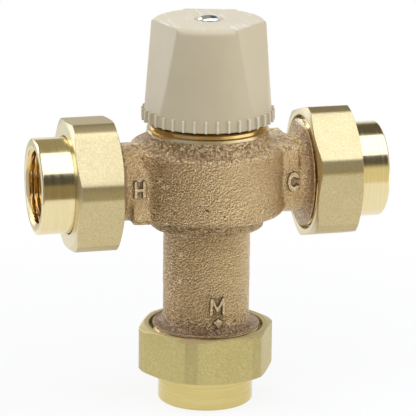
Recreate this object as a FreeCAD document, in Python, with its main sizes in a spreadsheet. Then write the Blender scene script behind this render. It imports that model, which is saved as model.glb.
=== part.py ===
import FreeCAD, Part
import math
import os

import Sketcher
from FreeCAD import Placement, Rotation, Vector

# Three-quarter-inch three-port mixing valve with union ends.
#
# Frame: +Z is the spindle's axis, pointing up at the cap; +X points out of the cold inlet and
# -X out of the hot one.  The origin is the middle of the outlet tailpiece's end face, which is
# what the valve stands on.  Lengths are millimetres, and every width across a round is a
# diameter unless its name ends in _radius.

SIZES = {
    # ports: reach from the point where the inlets' axis crosses the spindle's axis
    "inlet_reach": 62.0,
    "outlet_reach": 80.9,
    # union tailpieces, all three alike
    "tail_outside": 33.6,
    "tail_proud": 11.3,
    "tail_edge": 0.7,
    "tail_bore": 25.2,
    "tail_bore_depth": 14.6,
    "tail_countersink": 28.2,
    "tail_countersink_depth": 1.3,
    "tail_throat": 20.4,
    "tail_flange": 36.8,
    "tail_flange_thick": 3.0,
    # union nuts
    "nut_length": 16.4,
    "nut_flats": 44.5,
    "nut_corners": 48.5,
    "nut_lip": 3.4,
    "nut_mouth": 40.2,
    "nut_mouth_depth": 2.4,
    "nut_bevel_depth": 1.5,
    "hot_nut_turn": 35.6,
    "cold_nut_turn": 12.7,
    "outlet_nut_turn": 56.5,
    "union_thread": 38.0,
    "union_thread_edge": 0.9,
    "gasket_thick": 2.0,
    "gasket_opening": 24.4,
    # cast body
    "neck": 43.0,
    "neck_top": 18.1,
    "collar": 42.6,
    "collar_depth": 1.2,
    "neck_flare_radius": 3.0,
    "drum": 54.0,
    "drum_top": 12.7,
    "drum_edge_radius": 1.5,
    "drum_bottom": 11.6,
    "ring": 40.0,
    "ring_bottom": 17.0,
    "ring_edge_radius": 0.7,
    "stem": 30.6,
    "stem_root_radius": 1.2,
    "arm": 27.4,
    "arm_flange_reach": 33.6,
    "arm_flare_radius": 2.8,
    "block_high": 13.2,
    "block_deep": 12.5,
    "block_reach": 29.6,
    "block_edge_radius": 0.9,
    "outlet_thread_length": 8.6,
    # passages inside the body
    "bonnet_thread": 36.6,
    "chamber": 41.0,
    "chamber_depth": 5.6,
    "partition": 6.4,
    "port_width": 17.0,
    "port_end": 26.0,
    "hot_seat_height": 7.3,
    "hot_seat_rise": 1.4,
    "hot_seat_land": 34.8,
    "mixing_bore": 28.8,
    "mixing_end": 14.5,
    "stem_bore": 23.8,
    "ledge_depth": 26.5,
    "outlet_bore": 20.4,
    "seal_groove_width": 1.8,
    # check valve cartridges
    "check_barrel": 21.0,
    "check_length": 13.6,
    "check_flange": 29.0,
    "check_flange_thick": 1.6,
    "check_bore": 18.6,
    "check_seat_bore": 14.4,
    "check_seat_thick": 4.0,
    "check_spider_thick": 1.4,
    "check_hub": 5.6,
    "check_spoke": 1.8,
    "check_spokes": 3,
    "poppet": 16.6,
    "poppet_thick": 1.8,
    "poppet_stem": 2.6,
    "poppet_travel": 3.0,
    "check_wire": 0.5,
    "check_coil": 6.6,
    "check_turns": 5,
    "check_seal_wire": 1.5,
    # inlet screens
    "screen_rim": 28.8,
    "screen_thick": 0.5,
    "screen_dome": 19.0,
    "screen_dome_rise": 2.4,
    "screen_hole": 2.4,
    "screen_inner_ring": 6.6,
    "screen_outer_ring": 13.6,
    "screen_inner_holes": 6,
    "screen_outer_holes": 12,
    # bonnet
    "bonnet_flange": 41.4,
    "bonnet_flange_thick": 1.9,
    "bonnet_flange_edge": 0.45,
    "bonnet_flats": 32.0,
    "bonnet_flats_height": 5.5,
    "tower": 25.2,
    "tower_top": 36.2,
    "bonnet_neck": 17.2,
    "bonnet_neck_top": 43.0,
    "cold_seat_height": 7.3,
    "bonnet_skirt_bore": 29.2,
    "skirt_bore_top": 17.4,
    "key_flats": 18.0,
    "bonnet_seal_wire": 1.7,
    # spindle and what turns with it
    "spindle": 11.0,
    "spindle_collar": 16.8,
    "spindle_collar_thick": 1.8,
    "spindle_collar_top": 35.1,
    "spindle_thread": 10.0,
    "spindle_thread_end": 23.8,
    "spindle_point": 8.4,
    "spindle_point_length": 1.2,
    "spindle_groove": 38.4,
    "spindle_seal_wire": 1.6,
    "clip_groove": 9.4,
    "clip_thick": 0.8,
    "clip_outside": 14.2,
    "clip_gap_angle": 40.0,
    "head_flats": 8.0,
    "head_start": 44.5,
    "head_top": 52.5,
    "screw_thread": 4.0,
    "screw_length": 12.4,
    # cap
    "cap_base": 21.15,
    "cap_rise": 35.3,
    "cap_foot": 44.94,
    "cap_crown": 39.66,
    "cap_crown_radius": 1.4,
    "cap_flat_top": 17.4,
    "cap_flat_foot": 22.2,
    "cap_flats": 3,
    "cap_wall": 1.8,
    "cap_turn": 74.0,
    "cap_hub": 14.0,
    "cap_hub_bottom": 23.4,
    "rib_reach_radius": 23.3,
    "rib_width": 0.9,
    "rib_rise": 4.6,
    "ribs": 36,
    "screw_head": 7.9,
    "screw_head_rise": 2.1,
    "screw_recess": 10.2,
    "screw_recess_depth": 0.5,
    # regulating nut and overtravel stop
    "key_bottom": 17.6,
    "key_top": 31.4,
    "carrier_sleeve": 16.4,
    "carrier_bottom": 9.6,
    "carrier_bore": 12.8,
    "carrier_roof": 24.6,
    "stop_clip_height": 10.8,
    "stop_clip_groove": 14.0,
    "stop_clip_bore": 8.4,
    "pusher_thick": 2.0,
    "pusher_nose": 7.2,
    "pusher_nose_bottom": 9.0,
    "pusher_pin": 7.0,
    "pusher_pin_top": 17.0,
    "pusher_socket_depth": 1.6,
    "overtravel_coil": 11.5,
    "overtravel_wire": 0.9,
    "overtravel_turns": 7,
    # thermal element
    "rod": 4.4,
    "rod_bottom": -1.2,
    "element_guide": 7.8,
    "element_guide_top": 6.0,
    "element_guide_bottom": -1.0,
    "element_shoulder": 14.0,
    "element_cup": 12.0,
    "element_bottom": -18.0,
    "element_blind_end": -5.6,
    # shuttle
    "shuttle": 31.7,
    "shuttle_height": 12.0,
    "shuttle_wall": 2.6,
    "shuttle_hub": 17.2,
    "shuttle_hub_top": -3.5,
    "shuttle_web": 2.2,
    "shuttle_web_top": -1.0,
    "shuttle_webs": 4,
    "shuttle_groove_width": 2.4,
    "shuttle_seal_wire": 1.4,
    "return_coil": 14.6,
    "return_wire": 1.2,
    "return_turns": 6,
    "retainer_thick": 2.0,
    "retainer_opening": 11.0,
    "retainer_hole": 2.6,
    "retainer_hole_ring": 19.4,
    "retainer_holes": 8,
    # fits between pieces: gaps on the radius, or end to end
    "turning_gap": 0.3,
    "thread_gap": 0.08,
    "sliding_gap": 0.1,
    "running_gap": 0.05,
    "end_gap": 0.1,
}

COIL_SIDES = 16        # straight lengths in one turn of a spring
WIRE_SIDES = 6         # flats around its wire

DOC = FreeCAD.newDocument("mixing_valve")
SHEET = DOC.addObject("Spreadsheet::Sheet", "sizes")
PARTS = []


class Size:
    """A length that keeps its number together with the sheet expression that gives it."""

    def __init__(self, number, text):
        self.number = float(number)
        self.text = text

    def __add__(self, other):
        return Size(self.number + number(other), "(%s + %s)" % (self.text, text(other)))

    def __sub__(self, other):
        return Size(self.number - number(other), "(%s - %s)" % (self.text, text(other)))

    def __mul__(self, other):
        return Size(self.number * number(other), "(%s * %s)" % (self.text, text(other)))

    def __truediv__(self, other):
        return Size(self.number / number(other), "(%s / %s)" % (self.text, text(other)))

    def __neg__(self):
        return Size(-self.number, "(-%s)" % self.text)


def smaller(one, other):
    """The lesser of two lengths, such as a rounding and the wall that has to hold it."""
    return Size(min(one.number, other.number), "min(%s; %s)" % (one.text, other.text))


def number(size):
    return size.number if isinstance(size, Size) else float(size)


def text(size):
    return size.text if isinstance(size, Size) else "%.9f" % size


class Sizes:
    """The sheet's named values: S.drum is the drum's diameter, tied to its cell."""

    def __init__(self, sheet, table):
        for row, (name, value) in enumerate(table.items(), start=1):
            sheet.set("A%d" % row, name)
            sheet.set("B%d" % row, repr(value))
            sheet.setAlias("B%d" % row, name)
            setattr(self, name, Size(value, "sizes." + name))


S = Sizes(SHEET, SIZES)
DOC.recompute()


def half(size):
    return size / 2


# ---------------------------------------------------------------- sketches and features

def new_body(name):
    body = DOC.addObject("PartDesign::Body", name)
    body.Label = name
    PARTS.append(body)
    return body


def place(part, x, y, z, rotation=Rotation()):
    """Puts a finished part at a place that follows the sheet."""
    part.Placement = Placement(Vector(number(x), number(y), number(z)), rotation)
    for axis, value in (("x", x), ("y", y), ("z", z)):
        if isinstance(value, Size):
            part.setExpression("Placement.Base." + axis, value.text)


def origin_plane(body, role):
    return next(f for f in body.Origin.OriginFeatures if getattr(f, "Role", "") == role)


def new_sketch(body, name, plane, lift=None):
    sketch = body.newObject("Sketcher::SketchObject", name)
    sketch.AttachmentSupport = [(origin_plane(body, plane + "_Plane"), "")]
    sketch.MapMode = "FlatFace"
    if lift is not None:
        sketch.AttachmentOffset = Placement(Vector(0, 0, number(lift)), Rotation())
        sketch.setExpression("AttachmentOffset.Base.z", text(lift))
    return sketch


def tie_point(sketch, index, position, x, y):
    """Holds one point of a sketch at coordinates that come from the sheet."""
    for kind, value, axis in (("DistanceX", x, -2), ("DistanceY", y, -1)):
        if abs(number(value)) < 1e-9:
            sketch.addConstraint(Sketcher.Constraint("PointOnObject", index, position, axis))
            continue
        made = sketch.addConstraint(
            Sketcher.Constraint(kind, -1, 1, index, position, number(value)))
        if isinstance(value, Size):
            sketch.setExpression("Constraints[%d]" % made, value.text)


def draw_outline(sketch, points):
    """Adds one closed run of straight lines to a sketch."""
    first = sketch.GeometryCount
    spots = [Vector(number(x), number(y), 0) for x, y in points]
    count = len(spots)
    for i, spot in enumerate(spots):
        sketch.addGeometry(Part.LineSegment(spot, spots[(i + 1) % count]), False)
    for i in range(count):
        after = first + (i + 1) % count
        sketch.addConstraint(Sketcher.Constraint("Coincident", first + i, 2, after, 1))
    for i, (x, y) in enumerate(points):
        tie_point(sketch, first + i, 1, x, y)


def draw_block_end(sketch, wide, edge, radius):
    """Adds a rectangle from the X axis to the height edge, its two corners there rounded."""
    side = 1 if number(edge) > 0 else -1
    shoulder = edge - radius * side
    runs = [(-wide, 0), (wide, 0), (wide, shoulder), (wide - radius, edge),
            (radius - wide, edge), (-wide, shoulder)]
    spots = [Vector(number(x), number(y), 0) for x, y in runs]
    pull = number(radius) * (1 - math.sqrt(0.5))
    for i, start in enumerate(spots):
        end = spots[(i + 1) % 6]
        if i in (2, 4):
            corner = number(wide) * (1 if i == 2 else -1)
            middle = Vector(corner - math.copysign(pull, corner), number(edge) - side * pull, 0)
            sketch.addGeometry(Part.Arc(start, middle, end), False)
        else:
            sketch.addGeometry(Part.LineSegment(start, end), False)
            tie_point(sketch, i, 1, *runs[i])
            if i > 0:
                tie_point(sketch, i, 2, *runs[(i + 1) % 6])
    sketch.addConstraint(Sketcher.Constraint("Coincident", 0, 2, 1, 1))
    for i in (2, 4):
        begins = sketch.Geometry[i].StartPoint.distanceToPoint(spots[i]) < 1e-6
        first, last = (1, 2) if begins else (2, 1)
        sketch.addConstraint(Sketcher.Constraint("Coincident", i, first, i - 1, 2))
        sketch.addConstraint(Sketcher.Constraint("Coincident", i, last, i + 1, 1))
        made = sketch.addConstraint(Sketcher.Constraint("Radius", i, number(radius)))
        sketch.setExpression("Constraints[%d]" % made, text(radius))


def draw_circle(sketch, x, y, diameter):
    index = sketch.addGeometry(
        Part.Circle(Vector(number(x), number(y), 0), Vector(0, 0, 1), number(diameter) / 2), False)
    tie_point(sketch, index, 3, x, y)
    made = sketch.addConstraint(Sketcher.Constraint("Diameter", index, number(diameter)))
    sketch.setExpression("Constraints[%d]" % made, text(diameter))


def turn(body, name, points, kind="Revolution", axis="V_Axis", extra=()):
    """Revolves outlines of (radius, height) about Z, or of (x, radius) about X with H_Axis."""
    sketch = new_sketch(body, name + "_profile", "XZ")
    for outline in (points,) + tuple(extra):
        draw_outline(sketch, outline)
    feature = body.newObject("PartDesign::" + kind, name)
    feature.Profile = sketch
    feature.ReferenceAxis = (sketch, [axis])
    feature.Angle = 360
    return feature


def extrude(body, name, sketch, length, kind="Pad", reverse=False, middle=False):
    feature = body.newObject("PartDesign::" + kind, name)
    feature.Profile = sketch
    feature.Length = number(length)
    feature.setExpression("Length", text(length))
    feature.Reversed = reverse
    feature.Midplane = middle
    return feature


def repeat(body, name, feature, sketch, axis, count):
    """Repeats a feature evenly round the part's axis."""
    pattern = body.newObject("PartDesign::PolarPattern", name)
    pattern.Originals = [feature]
    pattern.Axis = (sketch, [axis])
    pattern.Angle = 360
    pattern.Occurrences = int(number(count))
    pattern.setExpression("Occurrences", text(count))
    body.Tip = pattern
    return pattern


def regular_points(flats, sides):
    """Corners of a regular polygon measured across its flats, one flat facing +X."""
    corner_radius = half(flats) / math.cos(math.pi / sides)
    angles = [math.pi * (2 * i + 1) / sides for i in range(sides)]
    return [(corner_radius * math.cos(a), corner_radius * math.sin(a)) for a in angles]


def is_ring(edge, diameter, height, direction=Vector(0, 0, 1)):
    """True for a round edge of the given size, centred that far along the given direction."""
    curve = edge.Curve
    return (isinstance(curve, Part.Circle)
            and abs(curve.Radius * 2 - number(diameter)) < 0.02
            and abs(curve.Center.dot(direction) - number(height)) < 0.02)


def soften(body, name, radius, wanted, kind="Fillet"):
    """Rounds, or chamfers, the edges of the body so far that pass a test."""
    DOC.recompute()
    base = body.Tip
    names = ["Edge%d" % (i + 1) for i, edge in enumerate(base.Shape.Edges) if wanted(edge)]
    if not names:
        raise ValueError("no edge found for " + name)
    feature = body.newObject("PartDesign::" + kind, name)
    feature.Base = (base, names)
    setting = "Radius" if kind == "Fillet" else "Size"
    setattr(feature, setting, number(radius))
    feature.setExpression(setting, text(radius))
    return feature


def o_ring(name, groove_bottom, wire, height, base, rotation=Rotation()):
    """A round rubber ring that lies against the bottom of its groove."""
    ring = DOC.addObject("Part::Torus", name)
    ring.Label = name
    centre_radius = half(groove_bottom) + half(wire)
    for setting, value in (("Radius1", centre_radius), ("Radius2", half(wire))):
        setattr(ring, setting, number(value))
        ring.setExpression(setting, value.text)
    x, y, z = base
    along = rotation.multVec(Vector(0, 0, 1))
    place(ring, x + height * along.x if along.x else x, y, z + height * along.z if along.z else z,
          rotation)
    PARTS.append(ring)
    return ring


def coil_spring(name, coil, wire, length, turns, base, rotation=Rotation()):
    """A compression spring from low end to high end, with its end turns closed up.

    The wire's centre line climbs one wire a turn over the first and last turn and evenly
    between them; the wire is WIRE_SIDES-sided and each turn is COIL_SIDES straight lengths.
    """
    radius = number(coil) / 2
    thick = number(wire)
    count = int(round(number(turns) * COIL_SIDES))
    closed = thick * 1.02
    climb = (number(length) - thick - 2 * closed) / (number(turns) - 2)

    def height(at):
        low = min(at, 1.0) * closed
        high = max(at - (number(turns) - 1.0), 0.0) * closed
        middle = min(max(at - 1.0, 0.0), number(turns) - 2.0) * climb
        return thick / 2 + low + middle + high

    points = []
    for i in range(count + 1):
        at = i / COIL_SIDES
        angle = 2 * math.pi * at
        points.append(Vector(radius * math.cos(angle), radius * math.sin(angle), height(at)))
    path = Part.makePolygon(points)
    along = points[1] - points[0]
    outward = Vector(1, 0, 0)
    across = along.cross(outward).normalize()
    outward = across.cross(along).normalize()
    corners = []
    for i in range(WIRE_SIDES + 1):
        angle = 2 * math.pi * (i + 0.5) / WIRE_SIDES
        corners.append(points[0] + outward * (thick / 2 * math.cos(angle))
                       + across * (thick / 2 * math.sin(angle)))
    section = Part.makePolygon(corners)
    spring = DOC.addObject("Part::Feature", name)
    spring.Label = name
    spring.Shape = path.makePipeShell([section], True, False, 1)
    place(spring, *base, rotation)
    PARTS.append(spring)
    return spring


# ---------------------------------------------------------------- where the ports lie

# height of the inlets' axis above the face the valve stands on
AXIS = S.outlet_reach

# from a union's seat on the body's end face, outwards along its port
TAIL_FLANGE_START = S.gasket_thick
LIP_START = TAIL_FLANGE_START + S.tail_flange_thick
NUT_END = LIP_START + S.nut_lip
TAIL_END = NUT_END + S.tail_proud
NUT_START = NUT_END - S.nut_length

INLET_SEAT = S.inlet_reach - TAIL_END
OUTLET_SEAT = S.outlet_reach - TAIL_END

PORTS = {
    "hot": ((-INLET_SEAT, 0, AXIS), Rotation(Vector(0, 1, 0), -90), SIZES["hot_nut_turn"]),
    "cold": ((INLET_SEAT, 0, AXIS), Rotation(Vector(0, 1, 0), 90), SIZES["cold_nut_turn"]),
    "outlet": ((0, 0, AXIS - OUTLET_SEAT), Rotation(Vector(1, 0, 0), 180),
               SIZES["outlet_nut_turn"]),
}
# the turn that the cap and the spindle under it share
CAP_TURN = Rotation(Vector(0, 0, 1), SIZES["cap_turn"])

# the space that the check cartridge and its screen take in an inlet
CHECK_POCKET = S.check_barrel + S.sliding_gap * 2
CHECK_COUNTERBORE = S.check_flange + S.sliding_gap * 2
CHECK_COUNTERBORE_DEPTH = S.check_flange_thick + S.screen_thick
CHECK_POCKET_END = INLET_SEAT - CHECK_COUNTERBORE_DEPTH - S.check_length - S.poppet_travel - 0.6


# ---------------------------------------------------------------- union ends

def union_nut(port):
    """Twelve-sided nut: six wide flats and six narrow corner facets, bevelled at both ends."""
    base, rotation, turned = PORTS[port]
    body = new_body(port + "_union_nut")
    outline = new_sketch(body, "flats_and_corners", "XY", NUT_START)
    flat, corner = half(S.nut_flats), half(S.nut_corners)
    step = math.radians(30)
    points = []
    for i in range(12):
        near, far = (corner, flat) if i % 2 == 0 else (flat, corner)
        # meeting point of the facet facing i * 30 degrees and the next one round
        here, there = step * i, step * (i + 1)
        spread = math.sin(there - here)
        x = (near * math.sin(there) - far * math.sin(here)) / spread
        y = (far * math.cos(here) - near * math.cos(there)) / spread
        points.append((x, y))
    draw_outline(outline, points)
    extrude(body, "blank", outline, S.nut_length)
    beyond = corner + 2
    bevel_bottom = S.nut_bevel_depth
    turn(body, "end_bevels",
         [(flat - 0.5, NUT_END + 1), (flat - 0.5, NUT_END), (beyond, NUT_END - bevel_bottom),
          (beyond, NUT_END + 1)], "Groove",
         extra=([(flat - 0.5, NUT_START - 1), (beyond, NUT_START - 1),
                 (beyond, NUT_START + bevel_bottom), (flat - 0.5, NUT_START)],))
    thread = half(S.union_thread) + S.thread_gap
    passage = half(S.tail_outside) + S.turning_gap
    turn(body, "bore",
         [(0, NUT_START - 1), (half(S.nut_mouth), NUT_START - 1),
          (half(S.nut_mouth), NUT_START + S.nut_mouth_depth),
          (thread, NUT_START + S.nut_mouth_depth), (thread, LIP_START), (passage, LIP_START),
          (passage, NUT_END + 1), (0, NUT_END + 1)], "Groove")
    place(body, *base, rotation.multiply(Rotation(Vector(0, 0, 1), turned)))


def tailpiece(port):
    """Turned tail with a pipe thread in its mouth and a flange that the nut's lip pulls on."""
    base, rotation, _ = PORTS[port]
    body = new_body(port + "_tailpiece")
    outside, bore = half(S.tail_outside), half(S.tail_bore)
    turn(body, "turned_form",
         [(half(S.tail_throat), TAIL_FLANGE_START), (half(S.tail_flange), TAIL_FLANGE_START),
          (half(S.tail_flange), LIP_START), (outside, LIP_START),
          (outside, TAIL_END - S.tail_edge), (outside - S.tail_edge, TAIL_END),
          (half(S.tail_countersink), TAIL_END), (bore, TAIL_END - S.tail_countersink_depth),
          (bore, TAIL_END - S.tail_bore_depth),
          (half(S.tail_throat), TAIL_END - S.tail_bore_depth)])
    place(body, *base, rotation)


def union_gasket(port):
    base, rotation, _ = PORTS[port]
    body = new_body(port + "_union_gasket")
    outside = half(S.union_thread) - S.union_thread_edge
    turn(body, "ring", [(half(S.gasket_opening), 0), (outside, 0),
                        (outside, S.gasket_thick), (half(S.gasket_opening), S.gasket_thick)])
    place(body, *base, rotation)


# ---------------------------------------------------------------- cast body

def valve_body():
    """One casting: drum and stem about Z, two arms about X, and a square block on each arm.

    The cold block stands up towards the upper chamber and the hot block hangs down towards
    the lower one.
    """
    body = new_body("valve_body")
    neck, collar, drum = half(S.neck), half(S.collar), half(S.drum)
    ring, stem, thread = half(S.ring), half(S.stem), half(S.union_thread)
    arm = half(S.arm)
    end_thread = OUTLET_SEAT - S.outlet_thread_length
    chamfer = S.union_thread_edge
    turn(body, "drum_and_stem",
         [(0, S.neck_top), (collar, S.neck_top), (collar, S.neck_top - S.collar_depth),
          (neck, S.neck_top - S.collar_depth), (neck, S.drum_top), (drum, S.drum_top),
          (drum, -S.drum_bottom), (ring, -S.drum_bottom), (ring, -S.ring_bottom),
          (stem, -S.ring_bottom), (stem, -end_thread), (thread, -end_thread),
          (thread, chamfer - OUTLET_SEAT), (thread - chamfer, -OUTLET_SEAT),
          (0, -OUTLET_SEAT)])
    up = Vector(0, 0, 1)
    flare_room = (drum - neck - S.drum_edge_radius) * 0.9
    soften(body, "neck_flare", smaller(S.neck_flare_radius, flare_room),
           lambda e: is_ring(e, S.neck, S.drum_top, up))
    soften(body, "drum_edges", S.drum_edge_radius,
           lambda e: is_ring(e, S.drum, S.drum_top, up) or is_ring(e, S.drum, -S.drum_bottom, up))
    soften(body, "stem_roots", S.stem_root_radius,
           lambda e: is_ring(e, S.stem, -S.ring_bottom, up))
    soften(body, "ring_edge", S.ring_edge_radius,
           lambda e: is_ring(e, S.ring, -S.ring_bottom, up))
    soften(body, "stem_flare", S.arm_flare_radius, lambda e: is_ring(e, S.stem, -end_thread, up))

    reach, flange = INLET_SEAT, S.arm_flange_reach
    turn(body, "arms",
         [(-reach, 0), (-reach, thread - chamfer), (chamfer - reach, thread), (-flange, thread),
          (-flange, arm), (flange, arm), (flange, thread), (reach - chamfer, thread),
          (reach, thread - chamfer), (reach, 0)], axis="H_Axis")
    out = Vector(1, 0, 0)
    for side in (-1, 1):
        soften(body, "arm_flare_%d" % (side + 1), S.arm_flare_radius,
               lambda e: is_ring(e, S.arm, S.arm_flange_reach * side, out))

    for name, edge, reverse in (("cold_block", S.block_high, False),
                                ("hot_block", -S.block_deep, True)):
        sketch = new_sketch(body, name + "_end", "YZ")
        draw_block_end(sketch, arm, edge, S.block_edge_radius)
        extrude(body, name, sketch, S.block_reach, reverse=reverse)
    body_passages(body)
    place(body, 0, 0, AXIS)


def body_passages(body):
    """Cuts the chambers, seats, ports and bores into the casting."""
    top = S.neck_top + 1
    bonnet, chamber = half(S.bonnet_thread), half(S.chamber)
    slide = half(S.shuttle) + S.sliding_gap
    split = half(S.partition)
    upper_roof = split + S.chamber_depth
    lower_floor = -S.hot_seat_height - S.hot_seat_rise
    groove = bonnet + S.seal_groove_width
    turn(body, "main_bore",
         [(0, top), (groove, top), (groove, S.neck_top - S.bonnet_seal_wire),
          (bonnet, S.neck_top - S.bonnet_seal_wire), (bonnet, upper_roof),
          (chamber, upper_roof), (chamber, split), (slide, split), (slide, -split),
          (chamber, -split), (chamber, lower_floor), (half(S.hot_seat_land), lower_floor),
          (half(S.hot_seat_land), -S.hot_seat_height), (half(S.mixing_bore), -S.hot_seat_height),
          (half(S.mixing_bore), -S.mixing_end), (half(S.stem_bore), -S.ring_bottom),
          (half(S.stem_bore), -S.ledge_depth), (half(S.outlet_bore), -S.ledge_depth),
          (half(S.outlet_bore), -OUTLET_SEAT - 1), (0, -OUTLET_SEAT - 1)], "Groove")
    pocket, counterbore = half(CHECK_POCKET), half(CHECK_COUNTERBORE)
    shoulder = INLET_SEAT - CHECK_COUNTERBORE_DEPTH
    right = [(CHECK_POCKET_END, 0), (CHECK_POCKET_END, pocket), (shoulder, pocket),
             (shoulder, counterbore), (INLET_SEAT + 1, counterbore), (INLET_SEAT + 1, 0)]
    left = [(-x, r) for x, r in right]
    turn(body, "inlet_bores", right, "Groove", "H_Axis", extra=(left,))
    wide = half(S.port_width)
    margin = S.sliding_gap * 2
    for name, low, high, reverse in (
            ("cold_port", split + margin, upper_roof - margin, True),
            ("hot_port", lower_floor + margin, -split - margin, False)):
        sketch = new_sketch(body, name + "_outline", "YZ")
        draw_outline(sketch, [(-wide, low), (wide, low), (wide, high), (-wide, high)])
        extrude(body, name, sketch, S.port_end, "Pocket", reverse=reverse)


# ---------------------------------------------------------------- check valves and screens

def check_housing(side):
    """Plastic cartridge: flange and seat at its outer end, spoked guide at its inner end."""
    base, rotation, _ = PORTS[side]
    body = new_body(side + "_check_housing")
    top = -S.screen_thick
    shoulder = top - S.check_flange_thick
    low = shoulder - S.check_length
    barrel, bore, seat = half(S.check_barrel), half(S.check_bore), half(S.check_seat_bore)
    groove = barrel - S.check_seal_wire + S.sliding_gap
    groove_top = shoulder - 0.5
    groove_low = groove_top - S.check_seal_wire - 0.2
    turn(body, "barrel",
         [(seat, top), (half(S.check_flange), top), (half(S.check_flange), shoulder),
          (barrel, shoulder), (barrel, groove_top), (groove, groove_top), (groove, groove_low),
          (barrel, groove_low), (barrel, low), (bore, low),
          (bore, shoulder - S.check_seat_thick), (seat, shoulder - S.check_seat_thick)])
    turn(body, "guide_hub",
         [(half(S.poppet_stem) + S.sliding_gap, low), (half(S.check_hub), low),
          (half(S.check_hub), low + S.check_spider_thick),
          (half(S.poppet_stem) + S.sliding_gap, low + S.check_spider_thick)])
    sketch = new_sketch(body, "spoke_outline", "XY", low)
    wide = half(S.check_spoke)
    draw_outline(sketch, [(half(S.check_hub) - 0.4, -wide), (bore + 0.4, -wide),
                          (bore + 0.4, wide), (half(S.check_hub) - 0.4, wide)])
    spoke = extrude(body, "spoke", sketch, S.check_spider_thick)
    repeat(body, "spokes", spoke, sketch, "N_Axis", S.check_spokes)
    place(body, *base, rotation)
    o_ring(side + "_check_seal", groove * 2, S.check_seal_wire, groove_top - S.check_seal_wire / 2
           - 0.1, base, rotation)
    return shoulder, low


def check_poppet(side, shoulder, low):
    """Disc with a bevelled front, a guide stem behind and its spring round the stem."""
    base, rotation, _ = PORTS[side]
    body = new_body(side + "_check_poppet")
    front = shoulder - S.check_seat_thick - S.end_gap
    back = front - S.poppet_thick
    disc, seat, stem = half(S.poppet), half(S.check_seat_bore), half(S.poppet_stem)
    nose = front + 1.4
    turn(body, "disc_and_stem",
         [(0, nose), (seat - 3.2, nose), (seat - 0.6, front), (disc, front),
          (disc, back + 0.6), (disc - 0.8, back), (stem, back), (stem, low - 0.3), (0, low - 0.3)])
    place(body, *base, rotation)
    x, y, z = base
    spider_top = low + S.check_spider_thick
    length = back - spider_top
    along = rotation.multVec(Vector(0, 0, 1))
    at = (x + spider_top * along.x, y, z)
    coil_spring(side + "_check_spring", S.check_coil, S.check_wire, length, S.check_turns,
                at, rotation)


def inlet_screen(side):
    """Domed strainer of thin sheet with two rings of holes."""
    base, rotation, _ = PORTS[side]
    body = new_body(side + "_inlet_screen")
    thick, rise = S.screen_thick, S.screen_dome_rise
    foot, crown = half(S.screen_dome), half(S.screen_outer_ring) - half(S.screen_hole) - 0.6
    turn(body, "formed_sheet",
         [(0, rise - thick), (crown, rise - thick), (foot - 0.5, -thick),
          (half(S.screen_rim), -thick), (half(S.screen_rim), 0), (foot, 0),
          (crown + 0.3, rise), (0, rise)])
    for name, ring, count in (("inner", S.screen_inner_ring, S.screen_inner_holes),
                              ("outer", S.screen_outer_ring, S.screen_outer_holes)):
        sketch = new_sketch(body, name + "_hole_outline", "XY", rise + 1)
        draw_circle(sketch, half(ring), 0, S.screen_hole)
        hole = extrude(body, name + "_hole", sketch, rise + 3, "Pocket")
        repeat(body, name + "_holes", hole, sketch, "N_Axis", count)
    place(body, *base, rotation)


# ---------------------------------------------------------------- bonnet and spindle

def bonnet():
    """Screwed brass bonnet: cold seat on its lower edge, keyed bore, and the spindle's neck."""
    body = new_body("bonnet")
    skirt = half(S.bonnet_thread) - S.thread_gap
    flange, edge = half(S.bonnet_flange), S.bonnet_flange_edge
    flange_top = S.neck_top + S.bonnet_flange_thick
    tower, neck = half(S.tower), half(S.bonnet_neck)
    turn(body, "turned_form",
         [(0, S.cold_seat_height), (skirt, S.cold_seat_height), (skirt, S.neck_top),
          (flange - edge, S.neck_top), (flange, S.neck_top + edge), (flange, flange_top - edge),
          (flange - edge, flange_top), (tower, flange_top), (tower, S.tower_top - 1),
          (tower - 1, S.tower_top), (neck, S.tower_top), (neck, S.bonnet_neck_top),
          (0, S.bonnet_neck_top)])
    sketch = new_sketch(body, "spanner_flats", "XY", S.neck_top + edge)
    draw_outline(sketch, regular_points(S.bonnet_flats, 6))
    extrude(body, "hexagon", sketch, S.bonnet_flats_height + S.bonnet_flange_thick - edge)
    cavity_top = S.spindle_collar_top + S.end_gap
    turn(body, "bores",
         [(0, S.cold_seat_height - 1), (half(S.bonnet_skirt_bore), S.cold_seat_height - 1),
          (half(S.bonnet_skirt_bore), S.skirt_bore_top),
          (half(S.spindle) + S.running_gap, S.skirt_bore_top),
          (half(S.spindle) + S.running_gap, S.bonnet_neck_top + 1), (0, S.bonnet_neck_top + 1)],
         "Groove")
    keyway = new_sketch(body, "keyed_bore_outline", "XY", S.skirt_bore_top - 1)
    draw_outline(keyway, regular_points(S.key_flats + S.sliding_gap * 2, 6))
    extrude(body, "keyed_bore", keyway, cavity_top - S.skirt_bore_top + 1, "Pocket", reverse=True)
    place(body, 0, 0, AXIS)
    o_ring("bonnet_seal", S.bonnet_thread + S.sliding_gap, S.bonnet_seal_wire,
           S.neck_top - half(S.bonnet_seal_wire), (0, 0, AXIS))


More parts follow.
